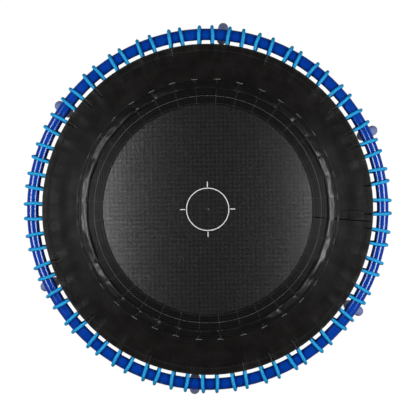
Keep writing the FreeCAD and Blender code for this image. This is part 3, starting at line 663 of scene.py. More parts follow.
def inflate(roll, up, tight):
    """Blows the roll up as cloth: its base and its tacks are sewn down, and the rest swells and wrinkles."""
    before = points_of(roll)
    hold = np.where(up[None] <= 0, 1.0, np.clip(tight * 1.3 - 0.3, 0, 1) * 0.98)
    group = roll.vertex_groups.new(name="sewn_down")
    for index, weight in enumerate(np.broadcast_to(hold, (ROLL_STEPS, ROLL_AROUND)).ravel()):
        if weight > 0:
            group.add([index], float(weight), "REPLACE")
    cloth = roll.modifiers.new("padding", "CLOTH")
    settings = cloth.settings
    settings.vertex_group_mass = group.name
    settings.quality = 6
    settings.mass = 0.15
    settings.tension_stiffness = 15
    settings.compression_stiffness = 15
    settings.shear_stiffness = 5
    settings.bending_stiffness = 2.0
    settings.shrink_min = -0.03
    settings.use_pressure = True
    settings.uniform_pressure_force = 4
    settings.effector_weights.gravity = 0
    cloth.collision_settings.use_collision = False
    scene = bpy.context.scene
    for number in range(1, 21):
        scene.frame_set(number)
    evaluated = roll.evaluated_get(bpy.context.evaluated_depsgraph_get())
    after = points_of(evaluated)
    roll.modifiers.remove(cloth)
    scene.frame_set(1)
    step = eased_along_roll(after - before)
    far = np.linalg.norm(step, axis=1, keepdims=True)
    after = before + step * np.minimum(1, FURTHEST_SWELL / np.maximum(far, 1e-9))
    set_points(roll, inside_roll_space(after))


def eased_along_roll(step):
    """Irons the finest wrinkles out of the swelling, along the roll and round its section."""
    step = step.reshape(ROLL_STEPS, ROLL_AROUND, 3)
    for _ in range(30):
        step = 0.5 * step + 0.25 * (np.roll(step, 1, axis=0) + np.roll(step, -1, axis=0))
    for _ in range(2):
        step = 0.5 * step + 0.25 * (np.roll(step, 1, axis=1) + np.roll(step, -1, axis=1))
    return step.reshape(-1, 3)


def inside_roll_space(points):
    """Keeps the blown-up roll above the band and near its own width."""
    radii = radius_of(points)
    kept = np.clip(radii, ROLL_INNER - 1 * MM, ROLL_R + 0.6 * MM)
    points[:, :2] *= (kept / radii)[:, None]
    points[:, 2] = np.clip(points[:, 2], ROLL_LOW, ROLL_HIGH + 1.5 * MM)
    return points


def set_points(piece, points):
    piece.data.vertices.foreach_set("co", points.astype(np.float32).ravel())
    piece.data.update()


def subdivide(piece, levels):
    """Smooth subdivision, applied."""
    modifier = piece.modifiers.new("smooth", "SUBSURF")
    modifier.levels = levels
    modifier.render_levels = levels
    bpy.context.view_layer.objects.active = piece
    with bpy.context.temp_override(object=piece, active_object=piece):
        bpy.ops.object.modifier_apply(modifier=modifier.name)


# ---------------------------------------------------------------- skirt


def strand_bearings():
    """Angle of every strand where it runs under the skirt's edge, in order round the ring."""
    bearings = []
    for index in range(CORDS):
        for side, sign in ((0, 1), (1, -1)):
            aside = sign * (STRAND + 0.45 * strand_shift[index, side])
            bearings.append(cord_angles[index] + math.atan2(aside, SKIRT_R))
    return np.sort(np.array(bearings) % TAU)


SAG_OVER_ANCHORS = 0.3 * MM
SAG_BETWEEN_CORDS = 1.5 * MM


def sag_of_bays():
    """Full sag after each strand: little over a cord's anchor, more between two cords."""
    next_bearings = np.append(bearings[1:], bearings[0] + TAU)
    middles = (bearings + next_bearings) / 2
    from_cord = np.abs((middles + CORD_STEP / 2) % CORD_STEP - CORD_STEP / 2)
    return np.where(from_cord < CORD_STEP / 4, SAG_OVER_ANCHORS, SAG_BETWEEN_CORDS)


bearings = strand_bearings()
bay_sag = rng.uniform(0.75, 1.15, len(bearings)) * sag_of_bays()
DEEPEST_CREASE = 1.5 * MM
CREASED_SHARE = 0.3
CREASE_HALF = math.radians(0.27)
is_creased = rng.uniform(size=len(bearings)) < CREASED_SHARE
crease_depth = np.where(is_creased, rng.uniform(0.6, 1, len(bearings)), 0) * DEEPEST_CREASE


def between_strands(angles):
    """For each angle: 0 on a strand and 1 halfway to the next, times that bay's own sag."""
    edges = np.concatenate([bearings, bearings[:1] + TAU])
    angles = (angles - bearings[0]) % TAU + bearings[0]
    bay = np.clip(np.searchsorted(edges, angles, side="right") - 1, 0, len(bearings) - 1)
    share = (angles - edges[bay]) / (edges[bay + 1] - edges[bay])
    return np.sin(math.pi * share) ** 1.4 * bay_sag[bay]


def creases(angles, radii):
    """Short dents in the cloth in line with some of the strands."""
    deep = np.zeros(np.broadcast(angles, radii).shape)
    start, fade = SKIRT_R - 34 * MM, 14 * MM
    along = smooth_step((radii - start) / fade)
    for bearing, depth in zip(bearings, crease_depth):
        if depth > 0:
            across = np.exp(-((away_from(bearing, angles) / CREASE_HALF) ** 2))
            deep = deep + depth * across * along
    return deep


def skirt_height(angles, radii):
    """Lower face of the skirt: flat on the band, then lying on the strands and sagging between them."""
    out = np.clip((radii - BAND_R) / (SKIRT_R - BAND_R), 0, 1)
    cone = SKIRT_LOW + SKIRT_RISE * out
    slump = (0.45 * out + 0.6 * np.sin(math.pi * np.clip(out / 0.52, 0, 1)) ** 1.5) * MM
    sag = smooth_step((out - 0.25) / 0.6) * between_strands(angles)
    ripple = 0.2 * MM * np.sin(7 * angles + 9 * out) * smooth_step(out * 2) * (1 - out)
    return cone - slump - sag - creases(angles, radii) + ripple


def skirt_edge(angles, radii):
    """The hem is pulled in a little over each strand and stands out between them."""
    out = np.clip((radii - BAND_R) / (SKIRT_R - BAND_R), 0, 1)
    bulge = between_strands(angles) / SAG_BETWEEN_CORDS
    return radii + 0.5 * MM * (bulge - 0.7) * smooth_step((out - 0.7) / 0.3)


SKIRT_STEPS = 1800


def on_cords(piece, *nodes):
    """A finished piece of the skirt, with the share of the rim's travel it would take where it lies on the
    cords.
    """
    weights = rim_share(radius_of(points_of(piece)))
    return between_bodies(piece, "frame", "mat_rim", weights, "skirt_fabric", *nodes)


def make_skirt():
    """The fabric skirt, sewn on the band and laid over the cords."""

    def draped(angles, radii, z):
        above = z - SKIRT_LOW
        return skirt_edge(angles, radii), skirt_height(angles, radii) + above

    section = slab_section(SKIRT_INNER, SKIRT_R, SKIRT_LOW, SKIRT_LOW + SKIRT_CLOTH, 44, 0.7 * MM)
    skirt = revolved("skirt_cloth", section, skirt_fabric(), SKIRT_STEPS, draped)
    shade_folds(skirt)
    return on_cords(skirt, "skirt")


def shade_folds(piece):
    """Stores how deep each point lies in a crease, for the cloth's shadow."""
    points = points_of(piece)
    depth = creases(bearing_of(points), radius_of(points)) / DEEPEST_CREASE
    layer = piece.data.attributes.new("fold", "FLOAT", "POINT")
    layer.data.foreach_set("value", (0.9 * np.clip(depth, 0, 1)).astype(np.float32))


def on_skirt(angles, radii, above):
    """Height of something lying on the skirt's upper face."""
    return skirt_height(angles, radii) + SKIRT_CLOTH + above


def make_hem():
    """Tape turned over the skirt's outer edge."""

    def draped(angles, radii, z):
        return skirt_edge(angles, radii), on_skirt(angles, radii, z)

    section = np.array(slab_section(HEM_INNER, SKIRT_R, 0.05 * MM, HEM_CLOTH, 14, 0.35 * MM))
    thin = smooth_step((section[:, 0] - HEM_INNER) / (8 * MM))
    section[:, 1] *= 0.25 + 0.75 * thin
    hem = revolved("skirt_hem_tape", section, hem_tape(), SKIRT_STEPS, draped)
    shade_folds(hem)
    return on_cords(hem, "skirt_hem")


def make_lap():
    """The lap where the skirt's two ends overlap, with its edges turned in."""
    steps = np.arange(60)
    angles = np.linspace(LAP_START, LAP_END, len(steps))
    section = np.array(slab_section(LAP_INNER, LAP_R, 0.05 * MM, 0.8 * MM, 26, 0.35 * MM))
    radii = np.tile(section[:, 0], (len(angles), 1))
    end_fade = np.minimum(1, np.minimum(steps, steps[::-1]) / 2)[:, None]
    above = np.tile(section[:, 1], (len(angles), 1)) * end_fade
    points = round_points(angles, radii, on_skirt(angles[:, None], radii, above))
    width = (LAP_END - LAP_START) * LAP_R
    piece = grid_object("skirt_lap_patch", points, lap_fabric(), False, True, width, 2 * (LAP_R - LAP_INNER))
    return on_cords(piece, "skirt_lap")


def make_skirt_stitches():
    """Two rows of stitching along the hem."""
    points, faces = stitch_mesh(3.2 * MM, 0.8 * MM, 0.3 * MM)
    placements = []
    for radius in (HEM_INNER + 2 * MM, SKIRT_R - 3 * MM):
        for m in round_stitches(radius, 3.2 * MM, 0.9 * MM, 0):
            angle = math.atan2(m[1, 3], m[0, 3])
            reach = math.hypot(m[0, 3], m[1, 3])
            m[2, 3] = float(on_skirt(np.array([angle]), np.array([reach]), HEM_CLOTH)[0])
            placements.append(m)
    seam = copies_object("skirt_stitches", points, faces, placements, dark_thread())
    return on_cords(seam)


def make_tacks():
    """A dense bar of zigzag thread between every two cords."""
    ridges = 24
    along = np.linspace(-0.5, 0.5, ridges * 4 + 1)
    across = np.linspace(0, math.pi, 11)
    ridge = 0.5 + 0.5 * np.cos((along + 0.5) * ridges * TAU)
    height = TACK_HIGH - TACK_LOW
    ends = np.sqrt(np.clip(1 - (2 * np.abs(along)) ** 14, 0, 1))
    x = -np.cos(across)[None] * (TACK_WIDTH / 2) * (0.86 + 0.14 * ridge)[:, None] * ends[:, None]
    z = np.sin(across)[None] ** 0.6 * (height * (0.72 + 0.28 * ridge) * ends)[:, None]
    y = np.broadcast_to((along * TACK_LENGTH)[:, None], x.shape)
    points = np.stack([x, y, z], axis=-1)
    faces = grid_faces(*x.shape, close_v=True)[0][:, ::-1]
    placements = []
    for angle in tack_angles:
        lean = angle + rng.normal(0, 0.05)
        spot = polar(TACK_R + rng.normal(0, 0.4) * MM, angle + rng.normal(0, 0.003), TACK_LOW - 0.02 * MM)
        placements.append(placed(spot, (math.cos(lean), math.sin(lean), 0)))
    tacks = copies_object("bar_tack_threads", points, faces, placements, tack_thread())
    return on_body(tacks, "mat_rim", "pale_thread", "bar_tacks")


# ---------------------------------------------------------------- tabs under the band


def make_tabs():
    """Folded webbing under the band: two layers, and a loop for the steel link."""
    middle = TAB_CLOTH / 2
    top = TAB_LOOP[1] + TAB_BORE + middle
    lower = top - TAB_CLOTH - 0.05 * MM
    loop = TAB_BORE + middle
    out = np.column_stack([np.linspace(TAB_START, TAB_LOOP[0], 12), np.full(12, top)])
    turn = np.linspace(math.pi / 2, -math.radians(200), 26)[1:]
    bend = TAB_LOOP + loop * np.stack([np.cos(turn), np.sin(turn)], axis=1)
    start = bend[-1]
    t = np.linspace(0, 1, 8)[1:, None]
    join_at = np.array([start[0] - 8 * MM, lower])
    rise = start + t * (join_at - start)
    rise[:, 1] = start[1] + smooth_step(t[:, 0]) * (lower - start[1])
    back = np.column_stack([np.linspace(join_at[0], TAB_START, 8)[1:], np.full(7, lower)])
    flat = np.vstack([out, bend, rise, back])
    path = np.column_stack([flat[:, 0], np.zeros(len(flat)), flat[:, 1]])
    tangents = np.gradient(path, axis=0)
    tangents /= np.linalg.norm(tangents, axis=1)[:, None]
    normals = np.column_stack([-tangents[:, 2], np.zeros(len(path)), tangents[:, 0]])
    half = TAB_WIDTH / 2
    bend = np.linspace(math.pi / 2, -math.pi / 2, 5)
    right = [(half - middle + middle * math.cos(b), middle * math.sin(b)) for b in bend]
    left = [(-half + middle - middle * math.cos(b), -middle * math.sin(b)) for b in bend]
    quarter = half / 2
    below = [(x, -middle) for x in (quarter, 0, -quarter)]
    above = [(x, middle) for x in (-quarter, 0, quarter)]
    section = np.array(right + below + left + above)
    side = np.array([0.0, 1.0, 0.0])
    points = capped(path[:, None] + section[:, :1] * side + section[:, 1:] * normals[:, None] * 0.94)
    faces = grid_faces(*points.shape[:2], close_v=True)[0][:, ::-1]
    placements = [placed((0, 0, 0), (math.cos(a), math.sin(a), 0)) for a in cord_angles]
    tabs = copies_object("webbing_tab_straps", points, faces, placements, strap_webbing())
    return on_body(tabs, "mat_rim", "webbing", "webbing_tabs")


# ---------------------------------------------------------------- feet and welds


def leg_angles():
    """Bearings of the legs."""
    return [LEG_BEARING + i * LEG_STEP for i in range(LEGS)]


def make_feet():
    """Ribbed rubber feet with a dished sole."""
    wide, neck, bore = FOOT_DIAMETER / 2, 16.5 * MM, 14.4 * MM
    centre, bore_floor = 0.2 * MM, 8 * MM
    rise = np.linspace(3 * MM, FOOT_HIGH - 1.2 * MM, 60)
    share = (rise - rise[0]) / (rise[-1] - rise[0])
    rib = smooth_step(np.abs(((share * 5) % 1) - 0.5) * 6 - 1.2)
    wall = wide + (neck - wide) * share - 0.7 * MM * (1 - rib) * ((share > 0.15) & (share < 0.9))
    outline = [(centre, 1 * MM), (6 * MM, 1 * MM), (9 * MM, 0.6 * MM), (10 * MM, 0)]
    outline += [(wide - 2 * MM, 0), (wide - 0.8 * MM, 0.5 * MM), (wide - 0.15 * MM, 1.6 * MM)]
    outline += list(zip(wall, rise))
    outline += [(neck - 0.5 * MM, FOOT_HIGH - 0.3 * MM), (neck - 1.2 * MM, FOOT_HIGH)]
    outline += [(bore + 0.1 * MM, FOOT_HIGH), (bore, FOOT_HIGH - 0.6 * MM), (bore, bore_floor)]
    outline = np.array(outline + [(centre, bore_floor)])
    turn = np.linspace(0, TAU, 64, endpoint=False)
    points = round_points(turn, np.tile(outline[:, 0], (len(turn), 1)), outline[:, 1])
    faces = grid_faces(*points.shape[:2], close_u=True)[0]
    placements = [placed(polar(FOOT_R, a, 0), (math.cos(a), math.sin(a), 0)) for a in leg_angles()]
    feet = copies_object("rubber_feet", points, faces, placements, foot_rubber())
    return on_body(feet, "frame", "foot_rubber", "foot_tips")


def make_welds():
    """The weld bead where each stub tube meets the ring."""
    paint = ring_paint()
    beads = []
    turn = np.linspace(0, TAU, 160, endpoint=False)
    for number, angle in enumerate(leg_angles()):
        across = SPIGOT * np.cos(turn)
        along = SPIGOT * np.sin(turn)
        z = RING_Z - np.sqrt(TUBE**2 - across**2)
        x = RING_R + across
        c, s = math.cos(angle), math.sin(angle)
        path = np.column_stack([x * c - along * s, x * s + along * c, z])
        radius = 1.5 * MM * (1 + 0.12 * np.sin(turn * 34 + number))
        points = tube_points(path, radius, 10, closed=True)
        beads.append(grid_object(f"weld_{number}", points, paint, True, True, TAU * SPIGOT, 9 * MM))
    welds = join("spigot_welds", beads)
    return on_body(welds, "frame", "ring_paint")


# ---------------------------------------------------------------- materials


class Value:
    """What a node gives out; arithmetic with it adds the nodes that work it out."""

    def __init__(self, nodes, socket):
        self.nodes = nodes
        self.socket = socket

    def __add__(self, other):
        return self.nodes.maths("ADD", self, other)

    def __sub__(self, other):
        return self.nodes.maths("SUBTRACT", self, other)

    def __rsub__(self, other):
        return self.nodes.maths("SUBTRACT", other, self)

    def __mul__(self, other):
        return self.nodes.maths("MULTIPLY", self, other)

    def __truediv__(self, other):
        return self.nodes.maths("DIVIDE", self, other)

    def __pow__(self, power):
        return self.nodes.maths("POWER", self, power)

    def __abs__(self):
        return self.nodes.maths("ABSOLUTE", self)


MIX_SOCKETS = {"RGBA": (6, 7, 2), "FLOAT": (2, 3, 0)}


class Nodes:
    """A node tree, built from values, plain numbers and tuples, which are vectors or colours."""

    def __init__(self, tree):
        self.tree = tree

    def add(self, kind, *inputs, **settings):
        """A node with its settings, and its first inputs filled in order."""
        node = self.tree.nodes.new("ShaderNode" + kind)
        for key, value in settings.items():
            setattr(node, key, value)
        for socket, value in zip(node.inputs, inputs):
            self.put(socket, value)
        return node

    def put(self, socket, value):
        if isinstance(value, Value):
            self.tree.links.new(value.socket, socket)
        elif value is not None:
            socket.default_value = value

    def out(self, node, output=0):
        return Value(self, node.outputs[output])

    def maths(self, operation, *inputs):
        return self.out(self.add("Math", *inputs, operation=operation))

    def larger(self, first, second):
        return self.maths("MAXIMUM", first, second)

    def vector(self, operation, *inputs):
        return self.out(self.add("VectorMath", *inputs, operation=operation))

    def scaled(self, vector, amount):
        node = self.add("VectorMath", vector, operation="SCALE")
        self.put(node.inputs["Scale"], amount)
        return self.out(node)

    def to_camera(self):
        """1 where the camera looks straight at it, and 0 for light on its way elsewhere."""
        return self.out(self.add("LightPath"), "Is Camera Ray")

    def place(self):
        """Position in the object's frame, in metres."""
        return self.out(self.add("TexCoord"), "Object")

    def axes(self, vector):
        split = self.add("SeparateXYZ", vector)
        return [self.out(split, axis) for axis in range(3)]

    def join(self, x, y, z=0.0):
        return self.out(self.add("CombineXYZ", x, y, z))

    def noise(self, vector, scale, detail=2.0):
        node = self.add("TexNoise")
        self.put(node.inputs["Vector"], vector)
        self.put(node.inputs["Scale"], scale)
        self.put(node.inputs["Detail"], detail)
        return self.out(node, "Fac")

    def map(self, value, low, high, to_low=0.0, to_high=1.0):
        """What runs from low to high is made to run from to_low to to_high, and stops there."""
        return self.out(self.add("MapRange", value, low, high, to_low, to_high))

    def mix(self, share, first, second, kind="RGBA"):
        """A colour between two colours."""
        first_at, second_at, result_at = MIX_SOCKETS[kind]
        node = self.add("Mix", share, data_type=kind)
        self.put(node.inputs[first_at], first)
        self.put(node.inputs[second_at], second)
        return self.out(node, result_at)

    def blend(self, share, first, second):
        """A number between two numbers."""
        return self.mix(share, first, second, "FLOAT")

    def wave(self, value, period):
        """A sine of a length, one turn per period."""
        return self.maths("SINE", value * (TAU / period))

    def saw(self, value, period):
        """Runs from -1 to 1 over every period of a length."""
        return self.maths("FRACT", value / period) * 2.0 - 1.0

    def polar(self):
        """Distance from the Z axis and bearing round it."""
        x, y, _ = self.axes(self.place())
        return self.maths("SQRT", x * x + y * y), self.maths("ARCTAN2", y, x)

    def yarns(self, across, along, width, length):
        """0 to 1: lighter and darker yarns of about this width and length that run with `along`."""
        return self.map(self.noise(self.join(across / width, along / length), 1.0), 0.3, 0.7)

    def crossed_yarns(self, x, y, along_y, along_x, contrast):
        """Brightness near 1 of two sets of yarns, each with its own width and length."""
        both = self.yarns(x, y, *along_y) + self.yarns(y, x, *along_x)
        return self.map(both, 0.4, 1.6, 1 - contrast, 1 + contrast)

    def line(self, distance, half_width):
        """1 on a line and 0 beyond its half width, from a distance of either sign."""
        return self.map(abs(distance), half_width * 0.6, half_width, 1.0, 0.0)

    def bump(self, height, distance):
        node = self.add("Bump")
        self.put(node.inputs["Distance"], distance)
        self.put(node.inputs["Height"], height)
        return self.out(node)

    def tilt(self, slope_x, slope_y):
        """The surface normal, tilted by slopes along world X and Y, for fine weaves on flat cloth."""
        normal = self.out(self.add("NewGeometry"), "Normal")
        lean = self.join(slope_x * -1.0, slope_y * -1.0)
        return self.vector("NORMALIZE", self.vector("ADD", normal, lean))

    def leaning(self, outward, onward):
        """The normal of cloth whose weave slopes outward from the Z axis and onward round it."""
        bearing = self.polar()[1]
        cos, sin = self.maths("COSINE", bearing), self.maths("SINE", bearing)
        return self.tilt(outward * cos - onward * sin, outward * sin + onward * cos)


class Shader(Nodes):
    """A procedural material with one Principled surface."""

    def __init__(self, name):
        self.material = bpy.data.materials.new(name)
        self.material.use_nodes = True
        super().__init__(self.material.node_tree)
        self.surface = self.tree.nodes["Principled BSDF"]

    def finish(self, colour, roughness, normal=None, **extra):
        """The finished material; extra names more of the surface's inputs."""
        inputs = {"Base Color": colour, "Roughness": roughness, "Normal": normal, **extra}
        for name, value in inputs.items():
            self.put(self.surface.inputs[name.replace("_", " ")], value)
        return self.material


made_materials = {}


def once(build):
    """Each material is built the first time it is asked for, and takes its function's name."""

    def get():
        name = build.__name__
        if name not in made_materials:
            made_materials[name] = build(Shader(name))
        return made_materials[name]

    return get


@once
def ring_paint(s):
    """Deep blue gloss enamel with a faint orange peel."""
    place = s.place()
    patch = s.map(s.noise(place, 9.0, 3.0), 0.35, 0.65)
    colour = s.mix(patch, (0.0004, 0.026, 0.215, 1), (0.0006, 0.033, 0.25, 1))
    scuff = s.map(s.noise(place, 60.0, 4.0), 0.45, 0.75)
    peel = s.noise(place, 420.0)
    return s.finish(colour, s.blend(scuff, 0.14, 0.22), s.bump(peel, 0.05 * MM))


@once
def leg_silver(s):
    """Silver paint with a fine metal flake; its lavender-blue cast is a painted reflection of the blue ring.
    """
    place = s.place()
    flake_size = 0.4 * MM
    flake_at = s.vector("SNAP", place, (flake_size, flake_size, flake_size))
    flake = s.out(s.add("TexWhiteNoise", flake_at), "Value")
    patch = s.noise(place, 18.0, 3.0)
    # painted reflection: the blue in these silver greys stands for the blue ring seen in the legs
    base = s.mix(flake, (0.155, 0.2, 0.42, 1), (0.23, 0.285, 0.58, 1))
    colour = s.mix(s.map(patch, 0.4, 0.7, 0.0, 0.25), base, (0.13, 0.16, 0.33, 1))
    peel = s.noise(place, 500.0)
    return s.finish(colour, s.map(patch, 0.3, 0.7, 0.28, 0.38), s.bump(peel, 0.04 * MM), Metallic=0.2)


@once
def zinc_steel(s):
    """Bright zinc plate, faintly yellow and blue in patches."""
    place = s.place()
    patch = s.noise(place, 260.0, 3.0)
    colour = s.mix(s.map(patch, 0.35, 0.65), (0.5, 0.51, 0.53, 1), (0.62, 0.6, 0.55, 1))
    scratch = s.noise(s.vector("MULTIPLY", place, (1.0, 1.0, 12.0)), 900.0)
    return s.finish(colour, s.map(patch, 0.3, 0.7, 0.22, 0.36), s.bump(scratch, 0.04 * MM), Metallic=1.0)


@once
def foot_rubber(s):
    """Black rubber, paler with dust towards the floor."""
    place = s.place()
    low_down = s.map(s.axes(place)[2], 0.0, 12 * MM, 1.0, 0.0)
    dust = low_down * s.map(s.noise(place, 70.0, 4.0), 0.4, 0.7, 0.2, 1.0)
    colour = s.mix(dust, (0.012, 0.012, 0.014, 1), (0.05, 0.048, 0.045, 1))
    grain = s.noise(place, 900.0, 3.0)
    return s.finish(colour, s.blend(dust, 0.52, 0.8), s.bump(grain, 0.12 * MM))


@once
def moulded_plastic(s):
    """Black moulded plastic with a fine spark texture."""
    place = s.place()
    wear = s.map(s.noise(place, 90.0, 4.0), 0.5, 0.7)
    colour = s.mix(wear, (0.012, 0.012, 0.013, 1), (0.02, 0.02, 0.022, 1))
    grain = s.noise(place, 1400.0)
    return s.finish(colour, s.blend(wear, 0.38, 0.5), s.bump(grain, 0.06 * MM))


@once
def cord_sheath(s):
    """Bright blue braid: threads cross in two slanting families round the cord, with painted shade between
    them.
    """
    along, around, _ = s.axes(s.out(s.add("UVMap", uv_map="along_metres")))
    pitch = 2.4 * MM
    height = s.wave(along + around, pitch) * s.wave(along - around, pitch)
    strands = s.noise(s.join(along * 0.25, around), 260.0)
    # painted shade: the braid's low places between its threads get the darker blue
    base = s.mix(s.map(height, -1.0, 1.0), (0.0004, 0.17, 0.42, 1), (0.001, 0.29, 0.58, 1))
    colour = s.mix(s.map(strands, 0.35, 0.65, 0.0, 0.3), base, (0.004, 0.34, 0.62, 1))
    return s.finish(colour, 0.5, s.bump(height, 0.16 * MM), Specular_IOR_Level=0.3)


MESH_PITCH = 2.0 * MM
MESH_SQUARE = 6 * MESH_PITCH


@once
def woven_mesh(s):
    """Black plain-woven mat cloth: the flanks of its yarns shine to both sides, in faint squares, with
    painted shade in the gaps between its yarns.
    """
    x, y, _ = s.axes(s.place())
    saw_x, saw_y = s.saw(x, MESH_PITCH), s.saw(y, MESH_PITCH)
    flank = s.maths("SIGN", saw_x) * 0.23
    # painted shade: gap is 1 in the holes between the yarns, where the colour is made darker
    gap = (abs(saw_x) * abs(saw_y)) ** 3.0
    squares = s.map(s.wave(x, MESH_SQUARE) + s.wave(y, MESH_SQUARE), -2, 2, 0.7, 1.3)
    yarn = (6 * MM, 50 * MM)
    light = s.crossed_yarns(x, y, yarn, yarn, 0.1) * squares
    colour = s.scaled(s.mix(gap, (0.006, 0.006, 0.0062, 1), (0.003, 0.003, 0.003, 1)), light)
    return s.finish(colour, 0.2, s.tilt(flank, saw_y * 0.12), Specular_IOR_Level=light * 0.36)


@once
def print_ink(s):
    """Pale grey ink, with painted shade in the gaps between the yarns."""
    x, y, _ = s.axes(s.place())
    saw_x, saw_y = s.saw(x, MESH_PITCH), s.saw(y, MESH_PITCH)
    # painted shade: the ink is made darker in the gaps between the yarns
    gap = s.larger(abs(saw_x), abs(saw_y)) ** 6.0
    colour = s.mix(gap, (0.6, 0.61, 0.63, 1), (0.2, 0.2, 0.21, 1))
    return s.finish(colour, 0.55, s.tilt(saw_x * 0.15, saw_y * 0.15))


def closing_seam(s):
    """1 on the dark seam where the ends of the band and the skirt meet, along the lap's first side."""
    x, y, _ = s.axes(s.place())
    aside = y * math.cos(LAP_START) - x * math.sin(LAP_START)
    return s.line(aside, 1.6 * MM) * s.maths("GREATER_THAN", x, 0.0)


@once
def band_webbing(s):
    """Black webbing over the woven sheet, whose squares show through, stitched across at each tack."""
    x, y, _ = s.axes(s.place())
    radius, bearing = s.polar()
    arc = bearing * ((BAND_INNER + BAND_R) / 2)
    normal = s.leaning(s.saw(radius, 1.5 * MM) * 0.27, s.saw(arc, 1.6 * MM) * 0.1)
    from_tack = s.saw(bearing - (TACK_BEARING + CORD_STEP / 2), CORD_STEP) * (CORD_STEP / 2 * BAND_R)
    stitched = s.line(from_tack, 1.1 * MM)
    square = 5.6 * MM
    grid = s.larger(abs(s.saw(x, square)), abs(s.saw(y, square)))
    shown = 1.0 - s.larger(s.map(grid, 0.62, 0.85, 0.0, 0.65), closing_seam(s))
    yarn = (5 * MM, 40 * MM)
    woven = s.scaled((0.0042, 0.0042, 0.0045), s.crossed_yarns(x, y, yarn, yarn, 0.3))
    colour = s.scaled(s.mix(stitched, woven, (0.03, 0.03, 0.031, 1)), shown)
    return s.finish(colour, 0.32, normal, Specular_IOR_Level=shown * 0.26)


@once
def strap_webbing(s):
    """Narrow black webbing with a twill rib along it."""
    radius, bearing = s.polar()
    arc = bearing * TAB_LOOP[0]
    twill = s.wave(radius + arc, 2 * MM) * s.wave(arc, 3 * MM)
    fuzz = s.noise(s.place(), 1200.0)
    colour = s.mix(s.map(fuzz, 0.3, 0.7), (0.01, 0.01, 0.011, 1), (0.022, 0.022, 0.023, 1))
    return s.finish(colour, 0.62, s.bump(twill + fuzz, 0.18 * MM), Sheen_Weight=0.2)


def thread(s, dark, light, roughness, gloss=0.5, depth=0.1 * MM):
    """Twisted thread that runs between two greys."""
    twist = s.noise(s.place(), 1600.0)
    colour = s.mix(s.map(twist, 0.35, 0.65), dark, light)
    return s.finish(colour, roughness, s.bump(twist, depth), Specular_IOR_Level=gloss)


@once
def pale_thread(s):
    """Grey polyester thread for the band's bright row of stitches."""
    return thread(s, (0.06, 0.059, 0.057, 1), (0.105, 0.103, 0.1, 1), 0.35, gloss=0.8)


@once
def tack_thread(s):
    """Grey thread packed into a bar, flattened by wear."""
    return thread(s, (0.01, 0.0097, 0.0094, 1), (0.022, 0.021, 0.02, 1), 0.34)


@once
def dark_thread(s):
    """Charcoal thread for the skirt's seams and the band's inner row of stitches."""
    return thread(s, (0.011, 0.01, 0.01, 1), (0.022, 0.021, 0.02, 1), 0.55, depth=0.15 * MM)


@once
def coated_fabric(s):
    """Black coated fabric with a soft gloss and a fine leather-like grain."""
    place = s.place()
    cells = s.add("TexVoronoi", feature="DISTANCE_TO_EDGE")
    s.put(cells.inputs["Vector"], place)
    s.put(cells.inputs["Scale"], 900.0)
    pores = s.map(s.out(cells, "Distance"), 0.0, 0.25)
    height = s.noise(place, 160.0, 3.0) * 6.0 + pores
    patch = s.noise(place, 30.0, 3.0)
    colour = s.mix(s.map(patch, 0.35, 0.65), (0.0036, 0.0036, 0.004, 1), (0.005, 0.005, 0.0054, 1))
    roughness = s.map(patch, 0.3, 0.7, 0.3, 0.4)
    return s.finish(colour, roughness, s.bump(height, 0.02 * MM), Specular_IOR_Level=0.3)


def skirt_cloth(s, darker, shine=1.0):
    """A tightly woven black-brown cloth; darker is 1 in full shadow, and shine scales its gloss."""
    radius, bearing = s.polar()
    arc = bearing * ((SKIRT_INNER + SKIRT_R) / 2)
    pitch = 0.9 * MM
    normal = s.leaning(s.saw(radius, pitch) * 0.24, s.saw(arc, pitch) * 0.1)
    yarn = s.crossed_yarns(radius, arc, (4 * MM, 70 * MM), (5 * MM, 45 * MM), 0.15)
    patch = s.map(s.noise(s.place(), 22.0, 3.0), 0.3, 0.7, 0.75, 1.25)
    light = yarn * patch * (1.0 - darker)
    colour = s.scaled((0.0036, 0.0031, 0.0029), light)
    return s.finish(colour, 0.33, normal, Specular_IOR_Level=light * (0.22 * shine))


def in_shadow(s):
    """How dark the skirt is in its folds and on its closing seam."""
    fold = s.out(s.add("Attribute", attribute_name="fold"), "Fac")
    return s.larger(fold, closing_seam(s))


@once
def skirt_fabric(s):
    """The skirt's cloth, with its closing seam and the shadow in its folds."""
    return skirt_cloth(s, in_shadow(s))


@once
def hem_tape(s):
    """The same cloth turned over at the skirt's edge, a little shinier."""
    return skirt_cloth(s, in_shadow(s), shine=1.15)


@once
def lap_fabric(s):
    """The same cloth over the closing seam, with painted shade along its sides, at its outer end and in a
    line across it.
    """
    radius, bearing = s.polar()
    from_middle = abs(bearing - (LAP_START + LAP_END) / 2) * LAP_R
    # painted shade: darker lines along the lap's sides and outer end, and one across it
    side = s.line(from_middle - (LAP_END - LAP_START) / 2 * LAP_R, 1.8 * MM)
    end = s.line(radius - LAP_R, 1.3 * MM)
    across = s.line(radius - (LAP_INNER + LAP_SHADE_LINE), 1.2 * MM)
    return skirt_cloth(s, s.larger(side, s.larger(end, across)) * 0.7)


CAD_LOOKS = {
    "ring_frame": ring_paint,
    "leg_spigots": ring_paint,
    "leg_tubes": leg_silver,
    "leg_bolts": zinc_steel,
    "leg_washers": zinc_steel,
    "leg_nuts": zinc_steel,
    "foot_washers": zinc_steel,
    "cord_end_beads": moulded_plastic,
    "cord_anchors": moulded_plastic,
    "mat_links": zinc_steel,
}


def dress_cad_nodes():
    """Materials for the CAD nodes that stay in sight."""
    for name, look in CAD_LOOKS.items():
        node = frame["nodes"][name]
        node.data.materials.clear()
        node.data.materials.append(look())


# ---------------------------------------------------------------- stage, light and camera

FLOOR_HALF = 8.0
FLOOR_Z = -0.5 * MM
CAMERA_OVER_RING = 3.0
CAMERA_STANDS = np.array([0.056, 0.036])
CAMERA_TURN = math.radians(-0.8)
VIEW_WIDTH = 1.1402
RING_OFF_CENTRE = np.array([-0.0005, -0.003])
SENSOR = 36.0


